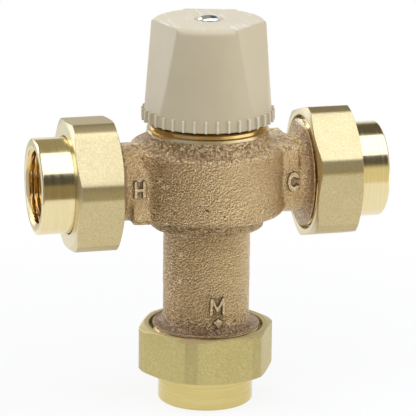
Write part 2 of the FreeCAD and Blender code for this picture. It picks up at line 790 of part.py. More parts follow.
def spindle():
    """Non-rising spindle: thread below its collar, seal and clip grooves, flats for the cap."""
    body = new_body("spindle")
    shaft, collar, thread = half(S.spindle), half(S.spindle_collar), half(S.spindle_thread)
    point = half(S.spindle_point)
    collar_low = S.spindle_collar_top - S.spindle_collar_thick
    seal_floor = shaft - S.spindle_seal_wire + S.running_gap
    seal_top = S.spindle_groove + S.spindle_seal_wire + 0.2
    clip_low = S.bonnet_neck_top + S.end_gap
    clip_high = clip_low + S.clip_thick
    tap, clip = half(S.screw_thread) + S.running_gap, half(S.clip_groove)
    tap_end = S.cap_base + S.cap_rise - S.screw_recess_depth - S.screw_length - 0.6
    low = S.spindle_thread_end
    turn(body, "turned_form",
         [(0, low), (point, low), (point, low + S.spindle_point_length),
          (thread, low + S.spindle_point_length + 0.8), (thread, collar_low),
          (collar, collar_low), (collar, S.spindle_collar_top), (shaft, S.spindle_collar_top),
          (shaft, S.spindle_groove), (seal_floor, S.spindle_groove), (seal_floor, seal_top),
          (shaft, seal_top), (shaft, clip_low), (clip, clip_low), (clip, clip_high),
          (shaft, clip_high), (shaft, S.head_start), (tap, S.head_start), (tap, tap_end),
          (0, tap_end)])
    head = new_sketch(body, "head_outline", "XY", S.head_start)
    draw_outline(head, regular_points(S.head_flats, 6))
    draw_circle(head, 0, 0, tap * 2)
    extrude(body, "head", head, S.head_top - S.head_start)
    place(body, 0, 0, AXIS, CAP_TURN)
    o_ring("spindle_seal", seal_floor * 2, S.spindle_seal_wire,
           S.spindle_groove + half(S.spindle_seal_wire) + 0.1, (0, 0, AXIS))
    retaining_clip("spindle_clip", S.clip_groove, S.clip_outside, clip_low, S.clip_thick)


def retaining_clip(name, inside, outside, low, thick):
    """Spring clip: a flat ring with a gap in it."""
    body = new_body(name)
    turn(body, "ring", [(half(inside), low), (half(outside), low),
                        (half(outside), low + thick), (half(inside), low + thick)])
    gap = new_sketch(body, "gap_outline", "XY", low - 1)
    slope = math.tan(math.radians(SIZES["clip_gap_angle"] / 2))
    reach = half(outside) + 1
    draw_outline(gap, [(0, 0), (reach, -reach * slope), (reach, reach * slope)])
    extrude(body, "gap", gap, thick + 2, "Pocket", reverse=True)
    place(body, 0, 0, AXIS)


# ---------------------------------------------------------------- cap

def cap():
    """Moulded hand cap: tapered shell with three leaning flats and a ribbed foot."""
    body = new_body("cap")
    foot, crown, rise = half(S.cap_foot), half(S.cap_crown), S.cap_rise
    turn(body, "taper", [(0, 0), (foot, 0), (crown, rise), (0, rise)])
    beyond = foot + 3
    lean = (S.cap_flat_foot - S.cap_flat_top) / rise
    sketch = new_sketch(body, "flat_outline", "XZ")
    draw_outline(sketch, [(S.cap_flat_foot + lean, -1), (beyond, -1), (beyond, rise + 1),
                          (S.cap_flat_top - lean, rise + 1)])
    flat = extrude(body, "flat", sketch, S.cap_foot + 4, "Pocket", middle=True)
    repeat(body, "flats", flat, sketch, "V_Axis", S.cap_flats)
    DOC.recompute()
    base = body.Tip
    under = [i for i, f in enumerate(base.Shape.Faces, start=1) if f.CenterOfMass.z < 0.01]
    shell = body.newObject("PartDesign::Thickness", "shell")
    shell.Base = (base, ["Face%d" % under[0]])
    shell.Value = number(S.cap_wall)
    shell.setExpression("Value", text(S.cap_wall))
    shell.Mode = 0
    shell.Join = 1
    shell.Reversed = True
    body.Tip = shell
    soften(body, "crown_edge", S.cap_crown_radius, lambda e: is_ring(e, S.cap_crown, S.cap_rise))
    ribs(body)
    hub = half(S.cap_hub)
    turn(body, "hub", [(0, S.cap_hub_bottom), (hub, S.cap_hub_bottom),
                       (hub, rise - half(S.cap_wall)), (0, rise - half(S.cap_wall))])
    socket = new_sketch(body, "socket_outline", "XY", S.cap_hub_bottom - 1)
    draw_outline(socket, regular_points(S.head_flats + S.sliding_gap * 2, 6))
    ceiling = S.head_top + S.end_gap - S.cap_base
    extrude(body, "socket", socket, ceiling - S.cap_hub_bottom + 1, "Pocket", reverse=True)
    passage = half(S.screw_thread) + S.turning_gap
    turn(body, "screw_hole",
         [(0, S.cap_hub_bottom - 1), (passage, S.cap_hub_bottom - 1),
          (passage, rise - S.screw_recess_depth),
          (half(S.screw_recess), rise - S.screw_recess_depth), (half(S.screw_recess), rise + 1),
          (0, rise + 1)], "Groove")
    place(body, 0, 0, AXIS + S.cap_base, CAP_TURN)


def ribs(body):
    """Short upright ribs round the cap's foot, each sloping in at its top."""
    inner = half(S.cap_foot) - half(S.cap_wall)
    sketch = new_sketch(body, "rib_outline", "XZ")
    draw_outline(sketch, [(inner, 0), (S.rib_reach_radius, 0),
                          (S.rib_reach_radius, S.rib_rise - 0.9), (inner, S.rib_rise)])
    rib = extrude(body, "rib", sketch, S.rib_width, middle=True)
    repeat(body, "rib_row", rib, sketch, "V_Axis", S.ribs)


def cap_screw():
    """Smooth domed screw that holds the cap on the spindle."""
    body = new_body("cap_screw")
    seat = S.cap_base + S.cap_rise - S.screw_recess_depth
    head, shank = half(S.screw_head), half(S.screw_thread)
    turn(body, "turned_form",
         [(0, seat - S.screw_length), (shank, seat - S.screw_length), (shank, seat),
          (head, seat), (head, seat + 0.3), (head * 0.94, seat + S.screw_head_rise * 0.45),
          (head * 0.78, seat + S.screw_head_rise * 0.72),
          (head * 0.52, seat + S.screw_head_rise * 0.9),
          (head * 0.25, seat + S.screw_head_rise * 0.98), (0, seat + S.screw_head_rise)])
    place(body, 0, 0, AXIS)


# ---------------------------------------------------------------- regulating train

def regulating_nut():
    """Nut that the spindle's thread raises and lowers; its hexagon keeps it from turning."""
    body = new_body("regulating_nut")
    sketch = new_sketch(body, "key_outline", "XY", S.key_bottom)
    draw_outline(sketch, regular_points(S.key_flats, 6))
    extrude(body, "key", sketch, S.key_top - S.key_bottom)
    sleeve = half(S.carrier_sleeve)
    turn(body, "sleeve", [(0, S.carrier_bottom), (sleeve, S.carrier_bottom),
                          (sleeve, S.key_bottom + 1), (0, S.key_bottom + 1)])
    bore, thread = half(S.carrier_bore), half(S.spindle_thread) + S.thread_gap
    groove = half(S.stop_clip_groove)
    clip_low = S.stop_clip_height
    clip_high = clip_low + S.clip_thick
    turn(body, "bores",
         [(0, S.carrier_bottom - 1), (bore, S.carrier_bottom - 1), (bore, clip_low),
          (groove, clip_low), (groove, clip_high), (bore, clip_high), (bore, S.carrier_roof),
          (thread, S.carrier_roof), (thread, S.key_top + 1), (0, S.key_top + 1)], "Groove")
    place(body, 0, 0, AXIS)
    retaining_clip("overtravel_clip", S.stop_clip_bore, S.stop_clip_groove - S.sliding_gap * 2,
                   clip_low, S.clip_thick)


def overtravel_stop():
    """Sprung pusher that gives way when the element expands against a closed seat."""
    body = new_body("overtravel_pusher")
    low = S.stop_clip_height + S.clip_thick + S.end_gap
    high = low + S.pusher_thick
    disc, nose = half(S.carrier_bore) - S.turning_gap, half(S.pusher_nose)
    socket, pin = half(S.rod) + S.running_gap, half(S.pusher_pin)
    roof = S.pusher_nose_bottom + S.pusher_socket_depth
    turn(body, "turned_form",
         [(0, roof), (socket, roof), (socket, S.pusher_nose_bottom), (nose, S.pusher_nose_bottom),
          (nose, low), (disc, low), (disc, high), (pin, high), (pin, S.pusher_pin_top),
          (0, S.pusher_pin_top)])
    place(body, 0, 0, AXIS)
    coil_spring("overtravel_spring", S.overtravel_coil, S.overtravel_wire, S.carrier_roof - high,
                S.overtravel_turns, (0, 0, AXIS + high))
    rod = new_body("element_rod")
    turn(rod, "turned_form",
         [(0, S.rod_bottom), (half(S.rod) - 0.4, S.rod_bottom), (half(S.rod), S.rod_bottom + 0.6),
          (half(S.rod), roof), (0, roof)])
    place(rod, 0, 0, AXIS)


def wax_element():
    """Copper cup of wax with a shoulder and a guide for its rod."""
    body = new_body("wax_element")
    bore, guide, cup = half(S.rod) + S.running_gap, half(S.element_guide), half(S.element_cup)
    turn(body, "turned_form",
         [(0, S.element_blind_end), (bore, S.element_blind_end), (bore, S.element_guide_top),
          (guide - 0.4, S.element_guide_top), (guide, S.element_guide_top - 0.6),
          (guide, S.element_guide_bottom), (half(S.element_shoulder), S.element_guide_bottom - 0.6),
          (half(S.element_shoulder), S.shuttle_hub_top), (cup, S.shuttle_hub_top),
          (cup, S.element_bottom + 1.5), (cup - 1.5, S.element_bottom), (0, S.element_bottom)])
    place(body, 0, 0, AXIS)


def shuttle():
    """Sleeve whose ends meet the two seats, webbed to the hub that the element sits in."""
    body = new_body("shuttle")
    outside, inside = half(S.shuttle), half(S.shuttle) - S.shuttle_wall
    top, groove = half(S.shuttle_height), half(S.shuttle_groove_width)
    floor = outside - S.shuttle_seal_wire + S.running_gap
    turn(body, "sleeve",
         [(inside, -top), (outside, -top), (outside, -groove), (floor, -groove), (floor, groove),
          (outside, groove), (outside, top), (inside, top)])
    hub, bore = half(S.shuttle_hub), half(S.element_cup) + S.running_gap
    turn(body, "hub", [(bore, -top), (hub, -top), (hub, S.shuttle_hub_top),
                       (bore, S.shuttle_hub_top)])
    sketch = new_sketch(body, "web_outline", "XY", -top)
    wide = half(S.shuttle_web)
    draw_outline(sketch, [(hub - 0.5, -wide), (inside + 0.5, -wide), (inside + 0.5, wide),
                          (hub - 0.5, wide)])
    web = extrude(body, "web", sketch, S.shuttle_web_top + top)
    repeat(body, "webs", web, sketch, "N_Axis", S.shuttle_webs)
    place(body, 0, 0, AXIS)
    o_ring("shuttle_seal", floor * 2, S.shuttle_seal_wire, Size(0, "0"), (0, 0, AXIS))


def return_spring_and_retainer():
    """Spring under the shuttle, on a drilled ring that rests on the ledge in the stem."""
    retainer_top = S.retainer_thick - S.ledge_depth
    body = new_body("spring_retainer")
    outside = half(S.stem_bore) - S.sliding_gap
    turn(body, "ring",
         [(half(S.retainer_opening), -S.ledge_depth), (outside, -S.ledge_depth),
          (outside, retainer_top), (half(S.retainer_opening), retainer_top)])
    sketch = new_sketch(body, "hole_outline", "XY", retainer_top + 1)
    draw_circle(sketch, half(S.retainer_hole_ring), 0, S.retainer_hole)
    hole = extrude(body, "hole", sketch, S.retainer_thick + 2, "Pocket")
    repeat(body, "holes", hole, sketch, "N_Axis", S.retainer_holes)
    place(body, 0, 0, AXIS)
    length = -half(S.shuttle_height) - retainer_top
    coil_spring("return_spring", S.return_coil, S.return_wire, length, S.return_turns,
                (0, 0, AXIS + retainer_top))


# ---------------------------------------------------------------- build, check and export

def build():
    valve_body()
    for port in PORTS:
        union_nut(port)
        tailpiece(port)
        union_gasket(port)
    for side in ("hot", "cold"):
        inlet_screen(side)
        check_poppet(side, *check_housing(side))
    bonnet()
    spindle()
    cap()
    cap_screw()
    regulating_nut()
    overtravel_stop()
    wax_element()
    shuttle()
    return_spring_and_retainer()
    DOC.recompute()


def check():
    """Stops before anything is written if a feature or a solid is bad."""
    for thing in DOC.Objects:
        if {"Invalid", "Error"} & set(thing.State):
            raise ValueError("%s failed: %s" % (thing.FullName, thing.State))
    for part in PARTS:
        if part.Shape.isNull() or not part.Shape.isValid() or part.Shape.Volume <= 0:
            raise ValueError(part.Label + " has no sound solid")


def export():
    os.makedirs("parts", exist_ok=True)
    for part in PARTS:
        part.Shape.exportStep(os.path.join("parts", part.Label + ".step"))


build()
check()
export()
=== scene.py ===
"""Three-port thermostatic mixing valve: skin, threads, nuts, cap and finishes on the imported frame.

Lengths in this file are millimetres from the crossing of the port axis and the spindle axis, with
Z up along the spindle; `to_metres` and `PORTS` put them in the frame.
"""

import math

import bmesh
import bpy
import numpy as np
from mathutils import Matrix, Vector


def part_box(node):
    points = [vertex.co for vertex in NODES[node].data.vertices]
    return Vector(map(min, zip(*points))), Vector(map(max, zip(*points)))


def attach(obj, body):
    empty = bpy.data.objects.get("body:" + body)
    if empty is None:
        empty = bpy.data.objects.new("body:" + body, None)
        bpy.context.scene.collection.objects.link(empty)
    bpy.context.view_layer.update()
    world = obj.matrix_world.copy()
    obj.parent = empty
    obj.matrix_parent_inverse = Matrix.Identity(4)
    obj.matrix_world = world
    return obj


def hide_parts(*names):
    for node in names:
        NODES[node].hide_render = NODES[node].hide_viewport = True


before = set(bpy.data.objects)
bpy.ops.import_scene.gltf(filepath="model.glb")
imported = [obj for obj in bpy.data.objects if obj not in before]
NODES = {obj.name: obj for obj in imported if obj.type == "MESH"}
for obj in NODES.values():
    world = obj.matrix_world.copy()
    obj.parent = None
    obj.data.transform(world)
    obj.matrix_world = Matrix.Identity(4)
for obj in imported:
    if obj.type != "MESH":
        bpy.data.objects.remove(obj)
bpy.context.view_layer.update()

MM = 0.001
TURN = 2 * math.pi


def span(node, axis):
    """Lowest and highest place of a node along one axis, in millimetres."""
    low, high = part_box(node)
    return low[axis] / MM, high[axis] / MM


# a tail stands out TAIL_LENGTH past its union's seat; the nut reaches NUT_SHANK back over the port
AXIS = sum(span("hot_tailpiece", 2)) / 2
TAIL_LENGTH, NUT_SHANK = 19.7, 8.0
INLET_SEAT = span("cold_tailpiece", 0)[1] - TAIL_LENGTH
OUTLET_SEAT = AXIS - span("outlet_tailpiece", 2)[0] - TAIL_LENGTH


# ---------------------------------------------------------------- meshes from arrays

def to_metres(x, y, z):
    """Points in metres from millimetre arrays measured from the crossing."""
    return np.stack(np.broadcast_arrays(x, y, z + AXIS), -1) * MM


def hot_side(x, y, out):
    """Points of the left port: x and y across it, `out` from its union's seat."""
    return to_metres(-INLET_SEAT - out, y, x)


def cold_side(x, y, out):
    """The same for the right port."""
    return to_metres(INLET_SEAT + out, y, -x)


def outlet_side(x, y, out):
    """The same for the port below."""
    return to_metres(x, -y, -OUTLET_SEAT - out)


PORTS = {"hot": hot_side, "cold": cold_side, "outlet": outlet_side}
NUT_TURNS = {"hot": 35.6, "cold": 12.7, "outlet": 56.5}  # degrees each nut stopped at


def new_object(name, data):
    """Object in the scene, at the origin and unturned."""
    item = bpy.data.objects.new(name, data)
    bpy.context.scene.collection.objects.link(item)
    return item


def keep_mesh(name, points, faces, body, finish, crease):
    """Object from an (n, 3) array in metres and a list of face index arrays, turned outwards.

    Edges that bend by more than `crease` degrees are sharp; 0 leaves all smooth.
    """
    flat = points.reshape(-1, 3)
    loops, totals, volume = [], [], 0.0
    for part in faces:
        corners = flat[part]
        hub = corners[:, 0]
        for k in range(1, part.shape[1] - 1):
            volume += np.einsum("ij,ij->", hub, np.cross(corners[:, k], corners[:, k + 1]))
        loops.append(part)
        totals.append(np.full(len(part), part.shape[1]))
    if volume < 0:
        loops = [part[:, ::-1] for part in loops]
    joined = np.concatenate([part.ravel() for part in loops]).astype(np.int32)
    totals = np.concatenate(totals)
    mesh = bpy.data.meshes.new(name)
    mesh.vertices.add(len(flat))
    mesh.vertices.foreach_set("co", flat.astype(np.float32).ravel())
    mesh.loops.add(len(joined))
    mesh.loops.foreach_set("vertex_index", joined)
    mesh.polygons.add(len(totals))
    mesh.polygons.foreach_set("loop_start", (np.cumsum(totals) - totals).astype(np.int32))
    mesh.polygons.foreach_set("use_smooth", np.ones(len(totals), bool))
    mesh.update(calc_edges=True)
    mesh.validate()
    if crease:
        mesh.set_sharp_from_angle(angle=math.radians(crease))
    return place_piece(name, mesh, body, finish)


def place_piece(name, mesh, body, finish):
    """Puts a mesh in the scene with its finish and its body."""
    piece = new_object(name, mesh)
    mesh.materials.clear()
    mesh.materials.append(finish)
    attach(piece, body)
    return piece


def grid_faces(rows, columns, around=True, looped=True):
    """Quads of a grid; `around` joins its last column to its first, `looped` its last row."""
    index = np.arange(rows * columns).reshape(rows, columns)
    if around:
        index = np.hstack([index, index[:, :1]])
    if looped:
        index = np.vstack([index, index[:1]])
    return np.stack([index[:-1, :-1], index[:-1, 1:], index[1:, 1:], index[1:, :-1]],
                    -1).reshape(-1, 4)


def parabola(s, first, corner, last):
    """(1 - s)^2 first + 2 s (1 - s) corner + s^2 last: it leaves and arrives along the corner."""
    return (1 - s) ** 2 * first + 2 * s * (1 - s) * corner + s ** 2 * last


def eased(corners, cuts, steps=4):
    """Closed profile with each corner swept by a `parabola` that starts and ends `cut` away."""
    corners, cuts = np.asarray(corners, float), np.asarray(cuts, float)[:, None]
    before, after = np.roll(corners, 1, 0) - corners, np.roll(corners, -1, 0) - corners
    start = corners + before / np.linalg.norm(before, axis=1, keepdims=True) * cuts
    end = corners + after / np.linalg.norm(after, axis=1, keepdims=True) * cuts
    s = np.linspace(0, 1, steps)[None, :, None]
    return parabola(s, start[:, None], corners[:, None], end[:, None]).reshape(-1, 2)


def angles(columns):
    """Even steps round a full turn, in radians."""
    return np.arange(columns) * TURN / columns


def spun(profile, columns):
    """Radii of an (n, 2) profile of radius and height, the same at every column."""
    return np.repeat(profile[:, :1], columns, 1)


def smooth_step(value, low, high):
    """0 below low, 1 above high and 3t^2 - 2t^3 between."""
    t = np.clip((value - low) / (high - low), 0, 1)
    return t * t * (3 - 2 * t)


def soft_least(a, b, width):
    """Lesser of two arrays, rounded by a parabola where they are within `width` of each other."""
    blend = np.clip(0.5 + 0.5 * (b - a) / width, 0, 1)
    return b + (a - b) * blend - width * blend * (1 - blend)


def thread_wave(turns):
    """Thread section along its pitch: 0 on the flat crest, 1 in the root, straight flanks."""
    return np.clip(1.3 * (1 - np.abs(2 * (turns % 1) - 1)) - 0.15, 0, 1)


LATTICE_HASH = np.array([73856093, 19349663, 83492791])
SEED_HASH, MIX_HASH = 2654435, 1274126177


def lattice_noise(points, size, seed):
    """Smooth random field between -1 and 1: random values on a cubic lattice of spacing `size`,
    carried between its corners by the 3t^2 - 2t^3 weights of each coordinate."""
    scaled = points / size
    cell = np.floor(scaled).astype(np.int64)
    t = scaled - cell
    t = t * t * (3 - 2 * t)
    total = np.zeros(len(points))
    for corner in np.ndindex(2, 2, 2):
        u, v, w = ((cell + corner) * LATTICE_HASH).T
        key = u ^ v ^ w ^ (seed * SEED_HASH)
        key = (key ^ (key >> 13)) * MIX_HASH
        value = ((key ^ (key >> 16)) & 65535) / 32767.5 - 1
        total += value * np.prod(np.where(corner, t, 1 - t), axis=1)
    return total


# ---------------------------------------------------------------- shader helpers

def maths(operation, flipped=False):
    """Method that adds a Math node on this value and others; `flipped` puts this one last."""
    def method(self, *others):
        values = (self, *others)
        return self.finish.node("ShaderNodeMath", {"operation": operation},
                                dict(enumerate(values[::-1] if flipped else values)))
    return method


class Wire:
    """A value between shader nodes. Arithmetic on it adds Math nodes."""

    def __init__(self, finish, socket):
        self.finish, self.socket = finish, socket

    __add__ = __radd__ = maths("ADD")
    __mul__ = __rmul__ = maths("MULTIPLY")
    __sub__, __rsub__ = maths("SUBTRACT"), maths("SUBTRACT", True)
    __truediv__, __abs__ = maths("DIVIDE"), maths("ABSOLUTE")
    root, sine = maths("SQRT"), maths("SINE")
    most, least = maths("MAXIMUM"), maths("MINIMUM")

    def step(self, low, high):
        """Smooth step: 0 where this value is `low` and 1 where it is `high`, either way round."""
        return self.finish.node("ShaderNodeMapRange", {"interpolation_type": "SMOOTHSTEP"},
                                {0: self, 1: low, 2: high, 3: 0.0, 4: 1.0})


class Finish:
    """A node material or world under construction."""

    def __init__(self, name, world=False):
        self.owner = (bpy.data.worlds if world else bpy.data.materials).new(name)
        self.owner.use_nodes = True
        self.tree = self.owner.node_tree
        self.tree.nodes.clear()

    def node(self, kind, settings=None, inputs=None, out=0):
        """Adds a node: its settings first, then its inputs as constants or links."""
        made = self.tree.nodes.new(kind)
        for key, value in (settings or {}).items():
            if key == "stops":
                ramp = made.color_ramp
                while len(ramp.elements) < len(value):
                    ramp.elements.new(1.0)
                for element, (place, colour) in zip(ramp.elements, value):
                    element.position = place
                    element.color = tuple(colour) + (1,) * (4 - len(colour))
            else:
                setattr(made, key, value)
        for key, value in (inputs or {}).items():
            socket = made.inputs[key]
            if isinstance(value, Wire):
                self.tree.links.new(value.socket, socket)
            elif isinstance(value, tuple) and socket.type == "RGBA" and len(value) == 3:
                socket.default_value = value + (1,)
            else:
                socket.default_value = value
        return Wire(self, made.outputs[out]) if made.outputs else None

    def place(self):
        """Object position in millimetres."""
        here = self.node("ShaderNodeTexCoord", out="Object")
        return self.node("ShaderNodeVectorMath", {"operation": "SCALE"},
                         {0: here, "Scale": 1 / MM})

    def centred(self):
        """Object position in millimetres from the crossing of the axes."""
        return self.node("ShaderNodeVectorMath", {"operation": "SUBTRACT"},
                         {0: self.place(), 1: (0, 0, AXIS)})

    def split(self, vector):
        """The three coordinates of a vector."""
        parts = self.node("ShaderNodeSeparateXYZ", inputs={0: vector})
        outputs = parts.socket.node.outputs
        return [Wire(self, outputs[k]) for k in range(3)]

    def stretched(self, vector, factors):
        return self.node("ShaderNodeVectorMath", {"operation": "MULTIPLY"},
                         {0: vector, 1: factors})

    def noise(self, vector, scale, detail=2.0, roughness=0.55, distortion=0.0):
        return self.node("ShaderNodeTexNoise", None,
                         {"Vector": vector, "Scale": scale, "Detail": detail,
                          "Roughness": roughness, "Distortion": distortion})

    def blend(self, factor, first, second):
        return self.node("ShaderNodeMix", {"data_type": "RGBA", "clamp_factor": True},
                         {0: factor, 6: first, 7: second}, out=2)

    def bump(self, height, distance):
        """Normal from a height between 0 and 1; the distance is in millimetres."""
        return self.node("ShaderNodeBump", None,
                         {"Height": height, "Distance": distance * MM, "Strength": 1.0})

    def surface(self, colour, roughness, metallic=0.0, normal=None, **more):
        shader = {"Base Color": colour, "Roughness": roughness, "Metallic": metallic}
        if normal is not None:
            shader["Normal"] = normal
        shader.update({key.replace("_", " "): value for key, value in more.items()})
        made = self.node("ShaderNodeBsdfPrincipled", None, shader)
        self.node("ShaderNodeOutputMaterial", inputs={"Surface": made})
        return self.owner


def length_of(across, up):
    """Length of the flat vector with these two coordinates."""
    return (across * across + up * up).root()


# ---------------------------------------------------------------- finishes

# middle of each raised mark on the casting: across and up from the crossing
MARKS = {"letter_h": (-27.5, 0.45), "letter_c": (27.5, 0.4), "letter_m": (0.1, -42.9),
         "flow_arrow": (0.47, -48.5)}
# casting pits low on the drum's front: across, up, half width, half height
PITS = ((-6.60, -4.88, 0.75, 0.26), (-0.60, -7.29, 0.35, 0.25))


def cast_bronze(name, polish=0.0):
    """Sand-cast bronze: rounded grains about half a millimetre wide, each with painted light on its
    upper left and painted shade below, over slow clouds; edges are worn bright and carry a painted
    highlight, and inner corners get painted shade.

    `polish` above 0 is for the raised marks: their faces are worn bright, which also paints a
    highlight on them, and their flanks get painted shade.
    """
    hollow, crown, cloudy = (0.22, 0.128, 0.052), (0.94, 0.705, 0.378), (0.56, 0.37, 0.20)
    painted_sparkle, dark_spot_and_painted_shade, painted_undercut_shade = (1.0, 0.83, 0.62), (0.13, 0.075, 0.04), (0.15, 0.09, 0.045)
    crease, flank, wear_and_painted_highlight = (0.15, 0.085, 0.045), (0.11, 0.065, 0.035), (0.97, 0.765, 0.48)
    f = Finish(name)
    here = f.centred()
    x, y, z = f.split(here)
    front, below, arm = y * -1, z * -1, abs(x)
    cloud = f.noise(here, 0.075, 3, 0.6)
    lump = f.noise(here, 0.85, 2, 0.6)
    wander = f.node("ShaderNodeTexNoise", None, {"Vector": here, "Scale": 2.2}, "Color")
    bent = f.node("ShaderNodeVectorMath", {"operation": "MULTIPLY_ADD"},
                  {0: wander, 1: (0.35, 0.35, 0.35), 2: here})
    grain = 1 - f.node("ShaderNodeTexVoronoi", {"feature": "SMOOTH_F1"},
                       {"Vector": bent, "Scale": 2.5, "Smoothness": 0.4}, "Distance")
    dust = f.noise(here, 4.5, 2, 0.6)
    height = lump * 0.4 + grain * 0.5 + dust * 0.2
    # painted light on the upper left of each grain and painted shade below it: the slope of a noise
    # towards the upper left, the noise less the same noise moved
    moved = f.node("ShaderNodeVectorMath", {"operation": "ADD"}, {0: here, 1: (-0.10, 0, 0.17)})
    lit = (f.noise(here, 1.5, 3, 0.7) - f.noise(moved, 1.5, 3, 0.7)) * 4.4 + 0.5
    # the discs behind the nuts are darker and the blocks on the arms lighter; the right side is
    # lighter by painted light
    disc = arm.step(31.0, 32.6).most(below.step(49.6, 51.4))
    block = arm.step(21.5, 25.0)
    lift = x.step(-22, 22) * (0.28 - block * 0.18) + block * 0.33 - disc * 0.16 - 0.11
    # the grain's tone, with the painted light and shade of `lit` and `lift` added in
    crest = (lit * 0.62 + height * 0.55 + lift).step(0.30, 0.94)
    colour = f.blend(crest, hollow, crown)
    colour = f.blend(cloud.step(0.35, 0.7) * 0.2, colour, cloudy)
    # the shoulder under the collar, the root of the stem and the place above the outlet nut get
    # spots of painted highlight and dark spots
    root = z.step(-10.0, -11.2) * z.step(-22.0, -14.5)
    painted_sparkle_zone = z.step(10.6, 12.6).most(root * 0.8).most(z.step(-45.5, -49.0) * 0.8)
    colour = f.blend(painted_sparkle_zone * lump.step(0.55, 0.70) * 0.6, colour, painted_sparkle)
    colour = f.blend(painted_sparkle_zone * lump.step(0.50, 0.36) * 0.6, colour, dark_spot_and_painted_shade)
    # painted shade under the drum, round the root of the stem
    colour = f.blend(root * 0.16, colour, painted_undercut_shade)
    if polish:
        facing = abs(f.split(f.node("ShaderNodeNewGeometry", out="True Normal"))[1])
        worn = facing.step(0.8, 0.97) * polish
        # painted shade on the flanks of the marks
        colour = f.blend(facing.step(0.93, 0.72) * 0.85, colour, flank)
    else:
        edge = f.node("ShaderNodeNewGeometry", out="Pointiness")
        worn = edge.step(0.512, 0.57)
        # painted shade in inner corners, where the pointiness is low
        colour = f.blend(edge.step(0.495, 0.465) * 0.6, colour, crease)
        # painted shade in a box round each mark
        for middle_x, middle_z in MARKS.values():
            wide = (abs(x - middle_x) - 2.2).most(abs(z - middle_z) - 2.9)
            painted_mark_shade = wide.step(0.8, -0.2) * front.step(8, 12) * 0.32
            colour = f.blend(painted_mark_shade, colour, dark_spot_and_painted_shade)
    # edges and the faces of the marks are lightened: wear, and a painted highlight as well
    colour = f.blend(worn * (0.40 + crest * 0.5), colour, wear_and_painted_highlight)
    # purple-brown tint on the discs behind the nuts and just above the outlet nut
    colour = f.blend(disc * 0.28, colour, (0.24, 0.14, 0.12))
    # cleaned collar and machined faces
    cut = z.step(16.85, 17.1).most(arm.step(33.9, 34.1)).most(below.step(52.9, 53.1))
    colour = f.blend(cut, colour, (0.80, 0.68, 0.44))
    pits = None
    for across, up, wide, high in PITS:
        dx, dz = (x - across) / wide, (z - up - (x - across) * -0.25) / high
        pit = (dx * dx + dz * dz).step(1.6, 0.5) * front.step(20, 24)
        pits = pit if pits is None else pits.most(pit)
    # the pits are painted near black, as the shade inside them
    colour = f.blend(pits, colour, (0.05, 0.03, 0.02))
    roughness = (0.36 - crest * 0.16 - worn * 0.04) * (1 - cut) + cut * 0.24
    relief = (height + cloud * 0.3) * (1 - cut * 0.95) - pits * 0.8
    return f.surface(colour, roughness, 0.86, f.bump(relief, 0.75))


# ends of a nut along its port and the distances of its wide and narrow flats from the axis
NUT_START, NUT_END = -NUT_SHANK, 8.4
NUT_FLAT, NUT_NARROW = 22.25, 24.25
NUT_CONE = NUT_FLAT - 0.5  # radius of the end cones at the end faces, from where they rise 3 to 1


def along_port(f, axis):
    """Distance out from the union's seat and distance from the port's axis (0 is X, 2 is Z)."""
    x, y, z = f.split(f.centred())
    if axis == 0:
        return abs(x) - INLET_SEAT, length_of(y, z)
    return z * -1 - OUTLET_SEAT, length_of(x, y)


def satin_brass(name, light, dark, axis):
    """Brass nut: fine sandy mottle on the wide flats, a duller brown skin on the narrow ones, and
    clean turned rings on the end faces and bevels."""
    level = axis == 0
    # the upright nut's turned faces are lighter: painted light
    clean = (0.76, 0.675, 0.45) if level else (0.95, 0.84, 0.52)
    clean_roughness = 0.32 if level else 0.48
    f = Finish(name)
    here = f.place()
    sand = f.noise(here, 1.5, 4, 0.7)
    speck = f.noise(here, 3.6, 2, 0.6)
    cloud = f.noise(here, 0.10, 2)
    tone = (sand * 0.6 + speck * 0.4).step(0.36, 0.64)
    colour = f.blend(tone, dark, light)
    colour = f.blend(cloud.step(0.4, 0.7) * 0.25, colour, dark)
    out, reach = along_port(f, axis)
    inward = (NUT_END - out).least(out - NUT_START)
    turned = (reach - (inward * 3 + NUT_CONE)).step(-0.14, -0.05).most(inward.step(0.08, 0.02))
    rings = f.node("ShaderNodeTexNoise", {"noise_dimensions": "1D"},
                   {"W": reach, "Scale": 6.0, "Detail": 2.0})
    colour = f.blend(reach.step(24.15, 24.4) * 0.7, colour, (0.34, 0.265, 0.12))
    colour = f.blend(turned * (0.5 + rings * 0.5), colour, clean)
    roughness = (0.46 - tone * 0.10) * (1 - turned) + turned * clean_roughness
    relief = (sand * 0.7 + speck * 0.3) * (1 - turned) + rings * turned * 0.2
    return f.surface(colour, roughness, 1.0, f.bump(relief, 0.05))


TOOL_FEED, WIRE_PITCH = 0.22, 1.1


def turned_metal(name, light, dark, axis, rough=0.12, mouth=None):
    """Lathe-turned metal: fine rings along `axis` (0, 1 or 2) that vary in depth and tone.

    `mouth` is a deeper, darker colour painted on a tail's threaded bore, within 14.1 mm of the
    port's axis, as the shade inside it.
    """
    f = Finish(name)
    here = f.place()
    along = f.split(here)[axis]
    squash = [0.02, 0.02, 0.02]
    squash[axis] = 1.0
    stretched = f.stretched(here, tuple(squash))
    fine = f.noise(stretched, 9.0, 3, 0.65)
    broad = f.noise(stretched, 1.6, 2, 0.5)
    stain = f.noise(here, 0.16, 3, 0.6)
    tone = (fine * 0.5 + broad * 0.5).step(0.38, 0.62)
    colour = f.blend(tone, dark, light)
    colour = f.blend(stain.step(0.5, 0.8) * 0.25, colour, dark)
    if mouth:
        reach = along_port(f, axis)[1]
        # painted shade inside the threaded bore
        colour = f.blend(reach.step(14.1, 13.4) * 0.75, colour, mouth)
    tool = (along * (TURN / TOOL_FEED)).sine() * 0.2
    roughness = rough + tone * 0.06 + stain.step(0.45, 0.75) * 0.06
    return f.surface(colour, roughness, 1.0, f.bump(fine * 0.7 + broad * 0.2 + tool, 0.003))


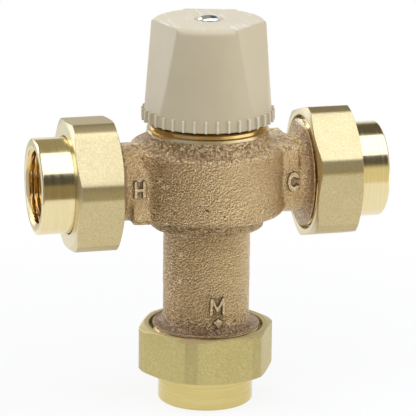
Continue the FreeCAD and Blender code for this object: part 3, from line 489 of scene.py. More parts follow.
def moulded_plastic(name, light, dark, rough=0.42, crown_sheen=0.0):
    """Injection-moulded plastic: fine spark-etched grain, slight flow clouds.

    `crown_sheen` above 0 is for the cap: its crown gets a pale painted sheen of that strength in
    flow-shaped patches, and its ribs a painted highlight at their tips.
    """
    f = Finish(name)
    here = f.centred()
    cloud = f.noise(here, 0.05, 3, 0.55)
    grain = f.noise(here, 2.6, 3, 0.6)
    speck = f.noise(here, 7.0, 1)
    colour = f.blend(cloud.step(0.3, 0.7) * 0.6 + speck * 0.25, light, dark)
    if crown_sheen:
        x, y, z = f.split(here)
        top = z.step(56.0, 56.3)
        flow = f.noise(f.stretched(here, (0.9, 0.16, 1.0)), 0.55, 3, 0.6, 0.6).step(0.52, 0.68)
        # painted sheen on the crown: pale all over, paler in flow-shaped patches
        colour = f.blend(top * (flow * crown_sheen + 0.08), colour, (0.84, 0.83, 0.79))
        # painted highlight on the tips of the ribs
        colour = f.blend(length_of(x, y).step(22.6, 23.1) * 0.75, colour, (0.84, 0.79, 0.64))
    roughness = rough + grain * 0.08
    return f.surface(colour, roughness, 0.0, f.bump(grain, 0.02), Specular_IOR_Level=0.45)


def plated(name, light, dark):
    """Bright plate: faint polishing scratches and a breath of haze."""
    f = Finish(name)
    here = f.place()
    haze = f.noise(here, 0.6, 3)
    scratch = f.noise(f.stretched(here, (1.0, 9.0, 1.0)), 1.4, 3, 0.7)
    colour = f.blend(haze.step(0.4, 0.75) * 0.4, light, dark)
    return f.surface(colour, 0.1 + haze * 0.1, 1.0, f.bump(scratch, 0.004))


def woven_wire():
    """Fine stainless strainer cloth: two crossing sets of wires."""
    f = Finish("strainer cloth")
    here = f.centred()
    y, z = f.split(here)[1:]
    weave = abs((y * (TURN / WIRE_PITCH)).sine()) * abs((z * (TURN / WIRE_PITCH)).sine())
    mottle = f.noise(here, 0.8, 3)
    colour = f.blend(weave.step(0.15, 0.7), (0.62, 0.60, 0.57), (0.10, 0.095, 0.09))
    colour = f.blend(mottle * 0.3, colour, (0.42, 0.36, 0.26))
    return f.surface(colour, 0.30 + mottle * 0.15, 0.9, f.bump(1 - weave, 0.12))


def rubber():
    """Black seal rubber with a dusty bloom."""
    f = Finish("seal rubber")
    here = f.place()
    bloom = f.noise(here, 0.35, 4, 0.65)
    grain = f.noise(here, 3.0, 2)
    colour = f.blend(bloom.step(0.4, 0.75), (0.018, 0.018, 0.019), (0.06, 0.058, 0.055))
    return f.surface(colour, 0.55 + bloom * 0.25, 0.0, f.bump(grain, 0.02))


BRASS_LIGHT, BRASS_DARK = (0.86, 0.74, 0.435), (0.81, 0.68, 0.375)
PAINTED_BORE_SHADE = (0.78, 0.54, 0.22)
bronze = cast_bronze("cast bronze")
mark_bronze = cast_bronze("cast bronze, raised marks", 0.85)
nut_brass_x = satin_brass("satin brass, level", (0.69, 0.58, 0.33), (0.56, 0.455, 0.23), 0)
# the upright nut and tail are darker, yellower copies of the level brass: painted shade
nut_brass_painted_shade = satin_brass("satin brass, upright, painted shade and light", (0.68, 0.58, 0.265), (0.51, 0.425, 0.17), 2)
tail_brass_x = turned_metal("turned brass, level", BRASS_LIGHT, BRASS_DARK, 0, mouth=PAINTED_BORE_SHADE)
tail_brass_painted_shade = turned_metal("turned brass, upright, painted shade", (0.71, 0.585, 0.25), (0.63, 0.505, 0.195), 2,
                            mouth=PAINTED_BORE_SHADE)
gold_brass = turned_metal("machined brass", (0.86, 0.66, 0.32), (0.66, 0.46, 0.18), 2, 0.18)
steel = turned_metal("stainless steel", (0.66, 0.65, 0.63), (0.48, 0.47, 0.45), 2, 0.24)
copper = turned_metal("copper", (0.80, 0.42, 0.27), (0.60, 0.28, 0.16), 2, 0.22)
beige = moulded_plastic("beige cap", (0.64, 0.545, 0.365), (0.59, 0.495, 0.325), 0.32, 0.4)
white_plastic = moulded_plastic("white plastic", (0.80, 0.79, 0.75), (0.72, 0.70, 0.65))
grey_plastic = moulded_plastic("grey plastic", (0.30, 0.31, 0.32), (0.22, 0.23, 0.24))
bright = plated("bright plate", (0.86, 0.88, 0.89), (0.68, 0.70, 0.71))
strainer = woven_wire()
black_rubber = rubber()

SLOT_FINISHES = {
    "cast_bronze": bronze, "nut_brass": nut_brass_x, "turned_brass": tail_brass_painted_shade,
    "machined_brass": gold_brass, "beige_plastic": beige, "bright_plate": bright,
    "stainless_steel": steel, "seal_rubber": black_rubber, "white_plastic": white_plastic,
    "grey_plastic": grey_plastic, "copper": copper,
}


def finish_frame_nodes():
    """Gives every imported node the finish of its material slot; strainers get wire cloth."""
    for name, node in NODES.items():
        slots = node.data.materials
        for k, old in enumerate(slots):
            slots[k] = SLOT_FINISHES.get(old.name.split(".")[0], steel)
        if name.endswith("inlet_screen"):
            slots[0] = strainer


finish_frame_nodes()


# ---------------------------------------------------------------- union nuts

NUT_THREAD, UNION_PITCH = 19.08, 1.6
NUT_LIP, NUT_MOUTH = 17.1, 20.1  # radii of the hole for the tail and of the open end
THREAD_END = 4.8  # the thread starts this far out from the seat and fades in from there


def nut_angles():
    """Columns round a nut, in radians, close together where a wide flat meets a narrow one."""
    meet = math.degrees(math.atan((NUT_FLAT / NUT_NARROW - math.cos(TURN / 12)) * 2))
    near = np.array([-2.4, -1.5, -0.9, -0.45, 0, 0.45, 0.9, 1.5, 2.4])
    wide = np.arange(meet + 4.4, 60 - meet - 4, 2.0)
    sector = np.concatenate([near - meet, [-1.2, 1.2], near + meet, wide])
    return np.radians(np.sort((sector + np.arange(6)[:, None] * 60).ravel() % 360))


def nut_outline(angle):
    """Radius of the twelve-sided bar: the sum over its flats of (cos(angle - flat) / distance)^p
    to the power -1/p, which rounds each corner a little."""
    distance = np.where(np.arange(12) % 2 == 0, NUT_NARROW, NUT_FLAT)[:, None]
    reach = np.maximum(np.cos(angle - angles(12)[:, None]), 0.01) / distance
    return (reach ** 90).sum(0) ** (-1 / 90)


def union_nut(port):
    """Nut carried round its axis: end cones cut the flats in arcs, thread ridges line the bore."""
    angle = nut_angles()
    bar = nut_outline(angle)
    rise = np.concatenate([[0, 0.06, 0.13], np.arange(0.2, 1.35, 0.1), [1.5, 1.9]])
    length = NUT_END - NUT_START
    out = np.concatenate([rise, np.arange(2.8, length - 2.5, 1.8), length - rise[::-1]])
    level = NUT_START + out
    cone = NUT_CONE + 3 * np.minimum(out, length - out)
    shell = soft_least(bar[None, :], cone[:, None], 0.30)
    thread_level = np.arange(THREAD_END, NUT_START + 2.6, -UNION_PITCH / 8)
    phase = thread_level[:, None] / UNION_PITCH - angle / TURN
    fade = smooth_step(THREAD_END - thread_level, 0, 0.8)[:, None]
    ridges = NUT_THREAD + 0.02 + 0.75 * thread_wave(phase) * fade

    def ring(radius, height):
        return np.full((1, len(angle)), float(radius)), np.array([float(height)])

    lip, mouth, thread, inside = NUT_LIP, NUT_MOUTH, NUT_THREAD, THREAD_END + 0.2
    rows = [(shell, level)]
    rows += [ring(r, NUT_END) for r in (21.6, 21.2, lip + 0.55, lip + 0.4)]
    rows += [ring(lip + 0.1, NUT_END - 0.12), ring(lip, NUT_END - 0.4), ring(lip, inside + 0.2),
             ring(lip, inside + 0.02), ring(lip + 0.2, inside), ring(thread - 0.1, inside),
             ring(thread, inside - 0.1)]
    rows += [(ridges, thread_level)]
    rows += [ring(thread + 0.1, NUT_START + 2.42), ring(thread + 0.2, NUT_START + 2.4),
             ring(mouth - 0.15, NUT_START + 2.4), ring(mouth, NUT_START + 2.25),
             ring(mouth, NUT_START + 0.5), ring(mouth + 0.12, NUT_START + 0.14),
             ring(mouth + 0.4, NUT_START), ring(mouth + 0.55, NUT_START),
             ring(21.2, NUT_START), ring(21.6, NUT_START)]
    radius = np.vstack([r for r, _ in rows])
    height = np.concatenate([h for _, h in rows])[:, None] + radius * 0
    turned = angle + math.radians(NUT_TURNS[port])
    points = PORTS[port](radius * np.cos(turned), radius * np.sin(turned), height)
    finish = nut_brass_painted_shade if port == "outlet" else nut_brass_x
    nut = keep_mesh(port + "_brass_nut", points, [grid_faces(*radius.shape)],
                    port + "_nut", finish, 24)
    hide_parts(port + "_union_nut")


# ---------------------------------------------------------------- tailpieces and port threads

PIPE_PITCH, PIPE_ROOT, PIPE_TAPER = 25.4 / 14, 13.75, 0.035
TAIL_OUTER, TAIL_BORE, TAIL_THROAT, TAIL_DEPTH = 16.8, 12.6, 10.2, 14.6
FLANGE_START, FLANGE_END, FLANGE_RADIUS = 2.0, 5.0, 18.4


def ring_points(port, radius, height, columns):
    """Grid round a port's axis from radii and from the rows' heights, and the grid's shape."""
    angle = angles(columns)
    radius = np.broadcast_to(radius, (len(height), columns))
    return PORTS[port](radius * np.cos(angle), radius * np.sin(angle),
                       np.broadcast_to(np.asarray(height)[:, None], radius.shape)), radius.shape


def tailpiece(port):
    """Turned tail: an eased profile carried round, whose mouth has a tapering pipe thread.

    The thread's radius is the bore's plus its depth times `thread_wave` of height / pitch less
    angle / turn; it opens out at the mouth and runs out at its inner end.
    """
    columns = 200
    bottom = TAIL_LENGTH - TAIL_DEPTH
    profile = eased([(TAIL_THROAT, bottom), (TAIL_THROAT, FLANGE_START),
                     (FLANGE_RADIUS, FLANGE_START), (FLANGE_RADIUS, FLANGE_END),
                     (TAIL_OUTER, FLANGE_END), (TAIL_OUTER, TAIL_LENGTH - 0.55),
                     (TAIL_OUTER - 0.55, TAIL_LENGTH), (14.0, TAIL_LENGTH)],
                    [0.3, 0.4, 0.3, 0.3, 0.15, 0.22, 0.22, 0.22])
    level = np.arange(TAIL_LENGTH - 0.35, bottom + 0.9, -PIPE_PITCH / 12)
    phase = level[:, None] / PIPE_PITCH - angles(columns) / TURN
    sunk = (TAIL_LENGTH - level)[:, None]
    root = PIPE_ROOT - sunk * PIPE_TAPER
    open_out = TAIL_BORE + 1.25 * smooth_step(sunk, 1.1, 0.1)
    run_out = smooth_step(sunk, TAIL_DEPTH - 0.9, TAIL_DEPTH - 3.6)
    wave = np.maximum(open_out, TAIL_BORE + (root - TAIL_BORE) * thread_wave(phase) * run_out)
    floor = np.array([(TAIL_BORE, bottom + 0.5), (TAIL_BORE - 0.05, bottom + 0.2),
                      (TAIL_BORE - 0.3, bottom), (TAIL_THROAT + 0.6, bottom)])
    radius = np.vstack([spun(profile, columns), wave, spun(floor, columns)])
    height = np.concatenate([profile[:, 1], level, floor[:, 1]])
    points, shape = ring_points(port, radius, height, columns)
    finish = tail_brass_painted_shade if port == "outlet" else tail_brass_x
    tail = keep_mesh(port + "_brass_tail", points, [grid_faces(*shape)], port + "_tail",
                     finish, 34)
    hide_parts(port + "_tailpiece")


# the casting is cut back to CUT_BACK under the ring that carries the port's thread
SLEEVE_INSIDE, CUT_BACK = 17.4, 17.75
PORT_CREST, PORT_THREAD_DEPTH = 18.97, 0.85


def port_thread(port):
    """Union thread of a port: a ring whose outer face is the crest's radius less the depth times
    `thread_wave` of height / pitch less angle / turn, fading at both ends."""
    columns = 240
    level = np.arange(-0.9, -NUT_SHANK + 0.25, -UNION_PITCH / 10)
    phase = level[:, None] / UNION_PITCH - angles(columns) / TURN
    taper = smooth_step(-level, 0.0, 1.2)[:, None] * smooth_step(level, -NUT_SHANK, -6.9)[:, None]
    groove = PORT_THREAD_DEPTH * thread_wave(phase + 0.5) * (0.3 + 0.7 * taper)
    crest = PORT_CREST - groove - 0.35 * (1 - taper)
    front = np.array([(SLEEVE_INSIDE, -0.03), (18.0, -0.03), (18.3, -0.12)])
    back = np.array([(18.3, -NUT_SHANK + 0.02), (SLEEVE_INSIDE, -NUT_SHANK + 0.02)])
    radius = np.vstack([spun(front, columns), crest, spun(back, columns)])
    height = np.concatenate([front[:, 1], level, back[:, 1]])
    points, shape = ring_points(port, radius, height, columns)
    keep_mesh(port + "_port_thread", points, [grid_faces(*shape)], "body",
              gold_brass, 40)


# ---------------------------------------------------------------- hand cap and its screw

# the cone's radius at foot and crown, the flats' distance there, and how far the cap is turned
CAP_BASE, CAP_RISE, CAP_FOOT, CAP_CROWN = 21.15, 35.3, 22.47, 19.83
FLAT_FOOT, FLAT_TOP, CAP_TURN = 22.2, 17.4, 74.0
CAP_WALL, RIB_REACH, RIBS, RIB_TOP = 1.8, 23.3, 36, 3.72
SEAT_SINK, SOCKET, HUB = 0.5, 4.1, 7.0  # the screw's seat below the crown, hexagon, hub radius


def from_flat(angle):
    """Angle from the middle of the nearest of the three flats."""
    return (angle + TURN / 6) % (TURN / 3) - TURN / 6


def cap_side(angle, height, inset=0.0):
    """Radius of the cap's side: the lesser of its cone and of the three flats that lean in."""
    share = height / CAP_RISE
    cone = CAP_FOOT + (CAP_CROWN - CAP_FOOT) * share - inset
    flat = (FLAT_FOOT + (FLAT_TOP - FLAT_FOOT) * share - inset) / np.cos(from_flat(angle))
    return soft_least(cone + 0 * flat, flat, 0.22)


def hand_cap():
    """Cap carried round as one closed section: foot, ribs, side, crown, recess, hub and socket.

    The crown's edge is a parabola cut 2.5 back where the side is conical and 0.4 on a flat.
    """
    tooth = np.array([-1.2, -1.02, -0.88, -0.72, -0.4, 0, 0.4, 0.72, 0.88, 1.02, 1.2,
                      2.1, 3.1, 4.1, 5.0, 5.9, 6.9, 7.9])
    apart = 360 // RIBS
    angle = np.sort(np.radians((tooth[None, :] + np.arange(RIBS)[:, None] * apart).ravel()))
    columns = len(angle)
    off_rib = np.abs((np.degrees(angle) + apart / 2) % apart - apart / 2)
    rib = smooth_step(off_rib, 1.06, 0.68)[None, :]

    cut = 2.5 - 2.1 * smooth_step(np.abs(from_flat(angle)), 0.56, 0.46)
    low = np.concatenate([[0.0, 0.1, 0.25], np.arange(0.6, 3.4, 0.55), np.arange(3.5, 4.4, 0.1)])
    share = np.linspace(0, 1, 42)[:-1, None]
    up = np.vstack([np.repeat(low[:, None], columns, 1),
                    4.6 + share * (CAP_RISE - cut - 4.6)[None, :]])
    side = cap_side(angle[None, :], up)
    rib_end = RIB_TOP + (RIB_REACH - side) * 0.34
    rib_on = rib * smooth_step(up, rib_end + 0.1, rib_end - 0.15)
    side = side + (RIB_REACH - side) * rib_on
    side[0] -= 0.22
    side[1] -= 0.06

    edge = cap_side(angle, CAP_RISE)
    s = np.linspace(0, 1, 9)[:, None]
    sweep_r = parabola(s, cap_side(angle, CAP_RISE - cut), edge, edge - cut)
    sweep_z = parabola(s, CAP_RISE - cut, CAP_RISE, CAP_RISE)

    def ring(radius, height):
        return np.full((1, columns), float(radius)), np.full((1, columns), float(height))

    seat = CAP_RISE - SEAT_SINK
    hub_low, ceiling, roof = 23.4, 31.45, CAP_RISE - CAP_WALL
    hexagon = SOCKET / np.cos((angle + TURN / 12) % (TURN / 6) - TURN / 12)[None, :]
    rows = [(side, up), (sweep_r, sweep_z)]
    rows += [((edge - cut - 0.3)[None, :], np.full((1, columns), CAP_RISE))]
    rows += [ring(r, CAP_RISE) for r in (14.0, 10.0, 7.0, 5.6, 5.35)]
    rows += [ring(5.15, CAP_RISE - 0.08), ring(5.1, CAP_RISE - 0.25), ring(5.08, seat + 0.1),
             ring(4.95, seat), ring(2.6, seat), ring(2.3, seat - 0.25),
             ring(2.3, ceiling + 0.1), ring(2.4, ceiling), (hexagon - 0.15, ring(0, ceiling)[1]),
             (hexagon, ring(0, ceiling - 0.15)[1]), (hexagon, ring(0, hub_low + 0.3)[1]),
             (hexagon + 0.25, ring(0, hub_low)[1]), ring(HUB - 0.2, hub_low),
             ring(HUB, hub_low + 0.2), ring(HUB, roof - 0.6), ring(HUB + 0.6, roof)]
    inner = np.concatenate([[roof - 0.6], np.arange(roof - 3, 2.0, -3.0), [0.8, 0.12]])[:, None]
    inside = cap_side(angle[None, :], inner, CAP_WALL)
    rows += [(inside[:1] - 0.6, np.full((1, columns), roof)),
             (inside, np.broadcast_to(inner, inside.shape)),
             (inside[-1:] + 0.2, np.full((1, columns), 0.0))]
    radius, height = np.vstack([r for r, _ in rows]), np.vstack([h for _, h in rows])
    turned = angle + math.radians(CAP_TURN)
    points = to_metres(radius * np.cos(turned), radius * np.sin(turned), height + CAP_BASE)
    cap = keep_mesh("hand_cap", points, [grid_faces(*radius.shape)], "adjuster",
                    beige, 30)
    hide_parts("cap")


def dome_screw():
    """Screw: a threaded shank under a smooth dome, closed at both poles.

    The dome stands rim + rise * sqrt(1 - (r / head)^2) above its seat in the cap's crown.
    """
    seat = CAP_BASE + CAP_RISE - SEAT_SINK
    head, rim_height, rise, pitch, columns = 3.95, 0.32, 1.76, 0.7, 120
    part = np.linspace(0, math.pi / 2, 20)[:-1]
    dome = np.stack([head * np.cos(part), seat + rim_height + rise * np.sin(part)], 1)
    shank_level = np.arange(seat - 12.0, seat - 1.2, 0.09)
    angle = angles(columns)
    shank = 1.98 - 0.36 * thread_wave(shank_level[:, None] / pitch - angle / TURN)
    low = np.array([(0.6, seat - 12.4), (1.5, seat - 12.38), (1.75, seat - 12.2)])
    neck = np.array([(1.96, seat - 1.1), (1.96, seat - 0.1), (2.1, seat), (head - 0.1, seat),
                     (head, seat + 0.1)])
    radius = np.vstack([spun(low, columns), shank, spun(neck, columns), spun(dome, columns)])
    height = np.concatenate([low[:, 1], shank_level, neck[:, 1], dome[:, 1]])
    rim = np.stack([radius * np.cos(angle), radius * np.sin(angle),
                    np.broadcast_to(height[:, None], radius.shape)], -1)
    count = radius.size
    poles = [(0, 0, height[0]), (0, 0, seat + rim_height + rise)]
    points = to_metres(*np.vstack([rim.reshape(-1, 3), poles]).T)
    first, last = np.arange(columns), np.arange(columns) + count - columns
    lids = [np.stack([np.roll(first, -1), first, np.full(columns, count)], 1),
            np.stack([last, np.roll(last, -1), np.full(columns, count + 1)], 1)]
    screw = keep_mesh("dome_screw", points, [grid_faces(*radius.shape, looped=False)] + lids,
                      "adjuster", bright, 40)
    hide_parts("cap_screw")


# ---------------------------------------------------------------- cast body

# machined from here outwards: the arms' ends, the outlet's end and the collar
ARM_FACE, OUTLET_FACE, COLLAR_FOOT = 33.3, 52.3, 16.75
COLLAR, COLLAR_TOP = 21.3, 18.1
VOXEL, SKIN_FACES = 0.45, 90000
BLOCK_FRONT, STEM_RADIUS = 13.7, 15.3  # where the marks stand
MARK_MARGIN, MARK_DEPTH, MARK_SUNK, MARK_RISE, MARK_STEP = 0.9, 0.9, 0.45, 1.25, 0.11


def solid_copy(node):
    """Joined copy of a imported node's mesh, for remeshing."""
    mesh = NODES[node].data.copy()
    joined = bmesh.new()
    joined.from_mesh(mesh)
    bmesh.ops.remove_doubles(joined, verts=joined.verts, dist=1e-6)
    joined.to_mesh(mesh)
    joined.free()
    return mesh


def modified(mesh, kind, **settings):
    """The mesh after one modifier."""
    holder = new_object("workpiece", mesh)
    change = holder.modifiers.new("change", kind)
    for key, value in settings.items():
        setattr(change, key, value)
    result = bpy.data.meshes.new_from_object(
        holder.evaluated_get(bpy.context.evaluated_depsgraph_get()))
    bpy.data.objects.remove(holder)
    return result


def listed(items, field, width, kind=np.float32):
    """An array of one field of a mesh's vertices or edges."""
    flat = np.empty(len(items) * width, kind)
    items.foreach_get(field, flat)
    return flat.reshape(-1, width)


def cast_share(p):
    """1 where a vertex lies on the rough outside of the casting, 0 on bores and machined faces."""
    x, y, z = p.T
    round_z, round_x = np.hypot(x, y), np.hypot(y, z)
    near_arm = (np.abs(x) > 20.0) & (round_x < 17.0) & (np.abs(z) < 17.0)
    # inside these radii the faces belong to the bore: collar, drum, shoulder, and else the stem
    bore = np.select([z > 12.4, z > -9.9, z > -17.3], [20.9, 21.6, 17.1], 13.6)
    outside = (round_z > bore) & ~(near_arm & (round_x < np.where(np.abs(x) < 33, 12.2, 16.0)))
    machined = (np.abs(x) > ARM_FACE) | (z < -OUTLET_FACE) | (z > COLLAR_FOOT)
    return outside & ~machined


def smoothed(points, pairs, share, rounds):
    """Moves each vertex half way to the mean of its neighbours, `rounds` times, by its share."""
    count = np.bincount(pairs.ravel(), minlength=len(points))[:, None]
    for _ in range(rounds):
        total = np.zeros_like(points)
        for k in range(3):
            total[:, k] = (np.bincount(pairs[:, 0], points[pairs[:, 1], k], len(points))
                           + np.bincount(pairs[:, 1], points[pairs[:, 0], k], len(points)))
        points = points + 0.5 * share[:, None] * (total / count - points)
    return points


def cast_skin():
    """Body casting: the solid remeshed in small steps, its rough faces relaxed and then lifted by
    three sizes of lattice noise; the port threads are cut back for their own rings."""
    mesh = modified(solid_copy("valve_body"), "REMESH", mode="VOXEL", voxel_size=VOXEL * MM)
    points = listed(mesh.vertices, "co", 3).astype(float) / MM - (0, 0, AXIS)
    pairs = listed(mesh.edges, "vertices", 2, np.int32)
    share = cast_share(points).astype(float)
    points = smoothed(points, pairs, share, 4)
    normals = listed(mesh.vertices, "normal", 3)
    rough = (0.10 * lattice_noise(points, 6.0, 3) + 0.05 * lattice_noise(points, 2.2, 5)
             + 0.06 * lattice_noise(points, 1.1, 9) - 0.03)
    points = points + normals * (rough * share)[:, None]
    x, y, z = points.T
    ring = np.hypot(x, y)
    turned = (z > COLLAR_FOOT) & (np.abs(ring - COLLAR) < 0.4)
    points[turned, :2] *= (COLLAR / ring[turned])[:, None]
    faced = (np.abs(z - COLLAR_TOP) < 0.3) & (ring > 20.0)
    points[faced, 2] = COLLAR_TOP
    x, y, z = points.T
    for reach, axes in ((np.abs(x) - (INLET_SEAT - NUT_SHANK), (1, 2)),
                        (-z - (OUTLET_SEAT - NUT_SHANK), (0, 1))):
        ring = np.hypot(points[:, axes[0]], points[:, axes[1]])
        cut = (reach > 0.1) & (ring > CUT_BACK)
        for k in axes:
            points[cut, k] *= CUT_BACK / ring[cut]
    mesh.vertices.foreach_set("co", ((points + (0, 0, AXIS)) * MM).astype(np.float32).ravel())
    mesh.update()
    mesh = modified(mesh, "DECIMATE", ratio=min(1.0, SKIN_FACES / len(mesh.polygons)))
    mesh.name = "cast_skin"
    mesh.polygons.foreach_set("use_smooth", np.ones(len(mesh.polygons), bool))
    mesh.set_sharp_from_angle(angle=math.radians(50))
    skin = place_piece("cast_skin", mesh, "body", bronze)
    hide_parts("valve_body")


def strokes_distance(u, v, strokes):
    """Least distance from points (u, v) to a set of straight strokes (u0, v0, u1, v1)."""
    least = np.full(np.broadcast(u, v).shape, 1e9)
    for u0, v0, u1, v1 in strokes:
        du, dv = u1 - u0, v1 - v0
        t = np.clip(((u - u0) * du + (v - v0) * dv) / (du * du + dv * dv), 0, 1)
        least = np.minimum(least, np.hypot(u - u0 - t * du, v - v0 - t * dv))
    return least


def raised_mark(name, wide, high, lift, onto):
    """Closed patch standing on the casting: a height field over a grid, sunk at its rim.

    `lift` gives the height between 0 and 1 at (u, v) from the mark's middle and `onto` carries
    (u, v, height) to the casting.
    """
    half_u, half_v = wide / 2 + MARK_MARGIN, high / 2 + MARK_MARGIN
    u, v = np.meshgrid(np.arange(-half_u, half_u + 0.05, MARK_STEP),
                       np.arange(-half_v, half_v + 0.05, MARK_STEP))
    across, up = u + MARKS[name][0], v + MARKS[name][1]
    top = -MARK_SUNK + MARK_RISE * lift(u, v)
    upper = onto(across, up, top)
    lower = onto(across, up, np.full_like(top, -MARK_DEPTH))
    rows, columns = u.shape
    index = np.arange(rows * columns).reshape(rows, columns)
    rim = np.concatenate([index[0, :-1], index[:-1, -1], index[-1, :0:-1], index[:0:-1, 0]])
    after, base = np.roll(rim, -1), rows * columns
    wall = np.stack([after, rim, rim + base, after + base], 1)
    face = grid_faces(rows, columns, False, False)
    points = np.concatenate([upper.reshape(-1, 3), lower.reshape(-1, 3)])
    return keep_mesh(name, points, [face, face[:, ::-1] + base, wall], "body",
                     mark_bronze, 0)


def on_block(u, v, height):
    """Points on the flat front of an inlet block."""
    return to_metres(u, -BLOCK_FRONT - height, v)


def on_stem(u, v, height):
    """Points on the round front of the stem, u along its girth."""
    radius, angle = STEM_RADIUS + height, u / STEM_RADIUS
    return to_metres(radius * np.sin(angle), -radius * np.cos(angle), v)


def ridge(distance, half, slope=0.34):
    """1 within a stroke, 0 outside it, with a flank `slope` wide."""
    return smooth_step(distance, half + slope / 2, half - slope / 2)


def cast_marks():
    """H and C on the inlet blocks, M and a small arrow above the outlet."""
    half_w, half_h, half_c, stroke = 1.5, 2.6, 1.65, 0.66
    h_strokes = [(-half_w, -half_h, -half_w, half_h), (half_w, -half_h, half_w, half_h),
                 (-half_w, 0, half_w, 0)]
    raised_mark("letter_h", 4.1, 6.3,
                lambda u, v: ridge(strokes_distance(u, v, h_strokes), stroke), on_block)

    def letter_c(u, v):
        ring = np.abs(np.hypot(u, v * (half_c / half_h)) - half_c)
        gap = smooth_step(u, 0.75, 1.35) * smooth_step(np.abs(v), 1.5, 1.0)
        return ridge(ring, stroke) * (1 - gap)

    raised_mark("letter_c", 4.3, 6.2, letter_c, on_block)
    m_strokes = [(-2.2, -2.8, -2.0, 2.8), (-2.0, 2.8, 0, -1.2), (0, -1.2, 2.0, 2.8),
                 (2.0, 2.8, 2.2, -2.8)]
    raised_mark("letter_m", 5.8, 6.8,
                lambda u, v: ridge(strokes_distance(u, v, m_strokes), 0.6), on_stem)

    def arrow(u, v):
        head = 1 - np.abs(u) / 2.3 - np.maximum(-v / 3.3, v / 1.6)
        return np.clip(head * 3 + 0.3, 0, 1) * (0.72 + 0.4 * np.clip(head, 0, 1))

    raised_mark("flow_arrow", 4.4, 6.2, arrow, on_stem)


for side in PORTS:
    union_nut(side)
    tailpiece(side)
    port_thread(side)
hand_cap()
dome_screw()
cast_skin()
cast_marks()


# ---------------------------------------------------------------- studio and camera

FLOOR_RADIUS, FLOOR_LEVEL = 0.25, -0.00002


def floor():
    """White disc that keeps the valve's shadow; the camera and reflections see it near white."""
    f = Finish("studio floor")
    path = f.node("ShaderNodeLightPath").socket.node.outputs
    seen = Wire(f, path["Is Camera Ray"]).most(Wire(f, path["Is Glossy Ray"])).most(
        Wire(f, path["Is Transmission Ray"]))
    paint = f.node("ShaderNodeBsdfDiffuse", None, {"Color": (0.86, 0.86, 0.86)})
    glow = f.node("ShaderNodeEmission", None, {"Color": (1.0, 1.0, 1.0), "Strength": 1.0})
    out = length_of(*f.split(f.place())[:2]).step(110, 240)
    mixed = f.node("ShaderNodeMixShader", None, {0: seen * (0.86 + out * 0.14), 1: paint, 2: glow})
    f.node("ShaderNodeOutputMaterial", inputs={"Surface": mixed})
    angle = angles(96)
    rim = np.stack([FLOOR_RADIUS * np.cos(angle), FLOOR_RADIUS * np.sin(angle),
                    0 * angle + FLOOR_LEVEL], 1)
    disc = bpy.data.meshes.new("studio_floor")
    disc.from_pydata(rim.tolist(), [], [list(range(len(rim)))])
    disc.materials.append(f.owner)
    item = new_object("studio_floor", disc)


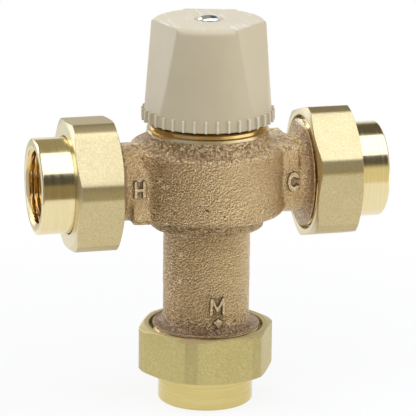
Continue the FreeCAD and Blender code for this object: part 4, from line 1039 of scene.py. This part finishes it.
def studio_world():
    """Room round the valve, plain white to the eye and seen only in reflections.

    Its wall is coloured by the angle from the front horizon over the zenith, one way in the middle
    and one on the right; far right and far left are lit walls, and behind on the left stand a pale
    panel and a bright strip above it.
    """
    f = Finish("studio room", world=True)
    x, y, z = f.split(f.node("ShaderNodeTexCoord", out="Generated"))
    over = f.node("ShaderNodeMath", {"operation": "ARCTAN2"}, {0: z, 1: y * -1})
    share = (over + math.pi) / TURN

    def arc(*levels):
        """Colours between (degrees, colour) stops."""
        return f.node("ShaderNodeValToRGB", {"stops": [((d + 180) / 360, c) for d, c in levels]},
                      {0: share})

    white, pale, dark = (1.0, 1.0, 1.0), (0.92, 0.92, 0.90), (0.09, 0.085, 0.075)
    back, brown, cream = (0.35, 0.32, 0.23), (0.29, 0.24, 0.15), (0.80, 0.73, 0.52)
    middle = arc((-180, (0.5, 0.5, 0.46)), (-150, (0.75, 0.75, 0.7)), (-90, pale), (-25, pale),
                 (-20, brown), (12, brown), (18, dark), (42, dark), (48, back), (157, back),
                 (168, white), (180, white))
    right = arc((-180, white), (-90, pale), (-25, pale), (-20, cream), (13, cream), (24, dark),
                (44, dark), (50, dark), (150, (0.12, 0.10, 0.08)), (172, white), (180, white))
    wall = f.blend(x.step(0.20, 0.30), middle, right)
    side = f.blend(z.step(-0.05, -0.16), (0.6, 0.6, 0.6), (1.5, 1.45, 1.35))
    wall = f.blend(x.step(0.45, 0.70), wall, side)
    left = f.blend(y.step(-0.2, 0.3), (0.34, 0.34, 0.34), (0.60, 0.63, 0.70))
    wall = f.blend((x * -1).step(0.45, 0.70), wall, left)
    behind = y.step(0.45, 0.62) * (x * -1).step(0.27, 0.37)
    wall = f.blend(behind * abs(z).step(0.42, 0.30), wall, (1.5, 1.6, 1.75))
    wall = f.blend(behind * abs(z - 0.58).step(0.16, 0.12), wall, (6.0, 6.0, 6.0))
    colour = f.blend(f.node("ShaderNodeLightPath", out="Is Camera Ray"), wall, white)
    room = f.node("ShaderNodeBackground", None, {"Color": colour, "Strength": 1.0})
    f.node("ShaderNodeOutputWorld", inputs={"Surface": room})
    bpy.context.scene.world = f.owner


def softbox(name, place, aim, size, power, turned):
    """Cool oblong lamp; places and size in metres, power in watts, turned in degrees."""
    light = bpy.data.lights.new(name, "AREA")
    light.color = (0.92, 1.0, 1.2)
    light.shape = "RECTANGLE"
    light.size, light.size_y = size
    light.energy = power
    item = new_object(name, light)
    item.location = place
    item.rotation_euler = (Vector(aim) - Vector(place)).to_track_quat("-Z", "Y").to_euler()
    item.rotation_euler.rotate_axis("Z", math.radians(turned))


def camera():
    """Long lens from a little to the left and above, turned by a small roll.

    It looks past the crossing of the axes, by `aside` and `under` millimetres.
    """
    azimuth, pitch, roll = math.radians(14.60), math.radians(14.86), math.radians(0.59)
    away, aside, under = 1.08364, 0.27, 10.87
    crossing = Vector((0, 0, AXIS * MM))
    towards = Vector((-math.sin(azimuth) * math.cos(pitch), -math.cos(azimuth) * math.cos(pitch),
                      math.sin(pitch)))
    right = Vector((0, 0, 1)).cross(towards).normalized()
    up = towards.cross(right)
    right, up = (right * math.cos(roll) + up * math.sin(roll),
                 up * math.cos(roll) - right * math.sin(roll))
    place = crossing + towards * away
    aim = crossing + right * aside * MM - up * under * MM
    back = (place - aim).normalized()
    right = up.cross(back).normalized()
    up = back.cross(right)
    view = bpy.data.cameras.new("camera")
    view.lens, view.sensor_width = 267.8, 36.0
    view.clip_start, view.clip_end = 0.05, 10
    item = new_object("camera", view)
    item.matrix_world = Matrix.Translation(place) @ Matrix((right, up, back)).transposed().to_4x4()
    bpy.context.scene.camera = item


floor()
studio_world()
softbox("overhead", (0.05, -0.235, 0.58), (0.05, -0.235, 0), (1.6, 0.60), 5.6, 10.0)
camera()
bpy.context.scene.view_settings.view_transform = "Standard"
